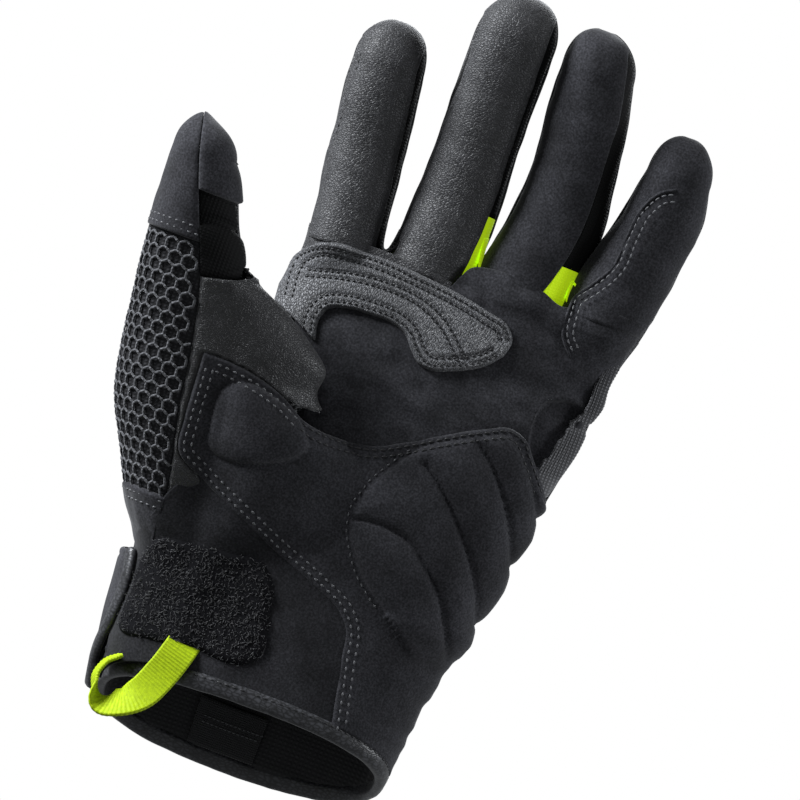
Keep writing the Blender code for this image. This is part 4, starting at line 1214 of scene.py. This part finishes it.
# %% Honeycomb threads
def honeycomb(pitch=4.3, radius=0.42):
    """Edges of a hexagon grid in (run round the thumb, height), as six-sided tubes."""
    rows = np.arange(-2, 28)
    step = pitch * np.sqrt(3) / 2
    corners = []
    for row in rows:
        for col in range(-14, 14):
            cx, cz = (col + 0.5 * (row % 2)) * pitch, 56 + row * step
            r = pitch / np.sqrt(3)
            a = np.radians(90 - 60 * np.arange(4))
            corners += [((cx + r * np.cos(a[k]), cz + r * np.sin(a[k])),
                         (cx + r * np.cos(a[k + 1]), cz + r * np.sin(a[k + 1]))) for k in range(3)]
    edges = np.array(corners)
    t = np.linspace(0, 1, 5)[None, :, None]
    lines = edges[:, :1] * (1 - t) + edges[:, 1:] * t
    s, z = lines[..., 0], lines[..., 1]
    cx, cy, a, b = section(THUMB, z)
    angle = np.radians(-60) + s / ((a + b) / 2)
    ok = (z > 57) & (z < CAP_LEFT + 0.5) & (angle > np.radians(-103)) & (angle < seam_angle(z) - 0.02)
    keep = ok.all(1)
    angle, z = angle[keep], z[keep]
    wave = 0.25 * np.sin(np.linspace(0, np.pi, 5))[None]
    p = tube_point(THUMB, angle, z, 0.0)
    out = tube_point(THUMB, angle, z, 1.0) - p
    out /= np.linalg.norm(out, axis=-1, keepdims=True)
    p = p + out * (wave[..., None] - 0.05)
    ahead = np.gradient(p, axis=1)
    side = np.cross(ahead, out)
    side /= np.linalg.norm(side, axis=-1, keepdims=True)
    ring = np.linspace(0, 2 * np.pi, 6, endpoint=False)
    tube = p[:, :, None] + radius * (side[:, :, None] * np.cos(ring)[None, None, :, None]
                                     + out[:, :, None] * 0.8 * np.sin(ring)[None, None, :, None])
    i = np.arange(30).reshape(5, 6)
    quad = np.stack([i[:-1], np.roll(i, -1, 1)[:-1], np.roll(i, -1, 1)[1:], i[1:]], -1).reshape(-1, 4)
    return tube.reshape(-1, 3), (quad[None] + (np.arange(len(p)) * 30)[:, None, None]).reshape(-1, 4)


MESH_THREAD = threads("mesh thread", (0.040, 0.041, 0.045), (0.095, 0.097, 0.106), 1400)
net = raw_object("thumb_mesh_threads", *honeycomb(), MESH_THREAD, "mesh_cloth")

# %% [markdown]
# The camera looks level at the palm, turned a little about its own axis. A wide soft light
# from the upper left models the pads, a second from the right catches the leather's edges.

# %% Camera, lights and backdrop
def area(name, place, aim, size, watts):
    light = bpy.data.lights.new(name, "AREA")
    light.size, light.energy, light.color = size, watts, (0.93, 0.96, 1.0)
    lamp = bpy.data.objects.new(name, light)
    lamp.location = place
    lamp.rotation_euler = (Vector(aim) - Vector(place)).to_track_quat("-Z", "Y").to_euler()
    bpy.context.scene.collection.objects.link(lamp)
    return lamp


CENTRE = Vector((0.0131, 0.0, 0.1165))
lens = bpy.data.cameras.new("camera")
lens.sensor_width, lens.lens = 36, 281.25
camera = bpy.data.objects.new("camera", lens)
roll = np.radians(20)
ahead, up = Vector((0, 1, 0)), Vector((-np.sin(roll), 0, np.cos(roll)))
side = ahead.cross(up)
camera.matrix_world = Matrix((
    (side.x, up.x, -ahead.x, CENTRE.x), (side.y, up.y, -ahead.y, -2.0),
    (side.z, up.z, -ahead.z, CENTRE.z), (0, 0, 0, 1)))
bpy.context.scene.collection.objects.link(camera)
bpy.context.scene.camera = camera

area("key light", (-1.05, -0.27, 0.7), CENTRE, 0.5, 44)
area("right light", (0.85, -0.05, 0.3), CENTRE, 0.4, 5)
area("back light", (0.1, 0.9, 0.6), CENTRE, 0.8, 8)

# a glowing white wall far behind the glove fills the camera's view
white = bpy.data.materials.new("white wall")
white.use_nodes = True
tree = white.node_tree
tree.nodes.remove(tree.nodes["Principled BSDF"])
glow = tree.nodes.new("ShaderNodeEmission")
tree.links.new(glow.outputs["Emission"], tree.nodes["Material Output"].inputs["Surface"])
wall_mesh = bpy.data.meshes.new("wall")
wall_mesh.from_pydata([(-0.7, 3.2, -0.6), (0.7, 3.2, -0.6), (0.7, 3.2, 0.8), (-0.7, 3.2, 0.8)], [], [(0, 1, 2, 3)])
wall_mesh.materials.append(white)
wall = bpy.data.objects.new("white_wall", wall_mesh)
bpy.context.scene.collection.objects.link(wall)
world = bpy.data.worlds.new("white room")
world.use_nodes = True
world.node_tree.nodes["Background"].inputs["Color"].default_value = (0.94, 0.97, 1, 1)
world.node_tree.nodes["Background"].inputs["Strength"].default_value = 0.28
bpy.context.scene.world = world
bpy.context.scene.view_settings.view_transform = "Standard"
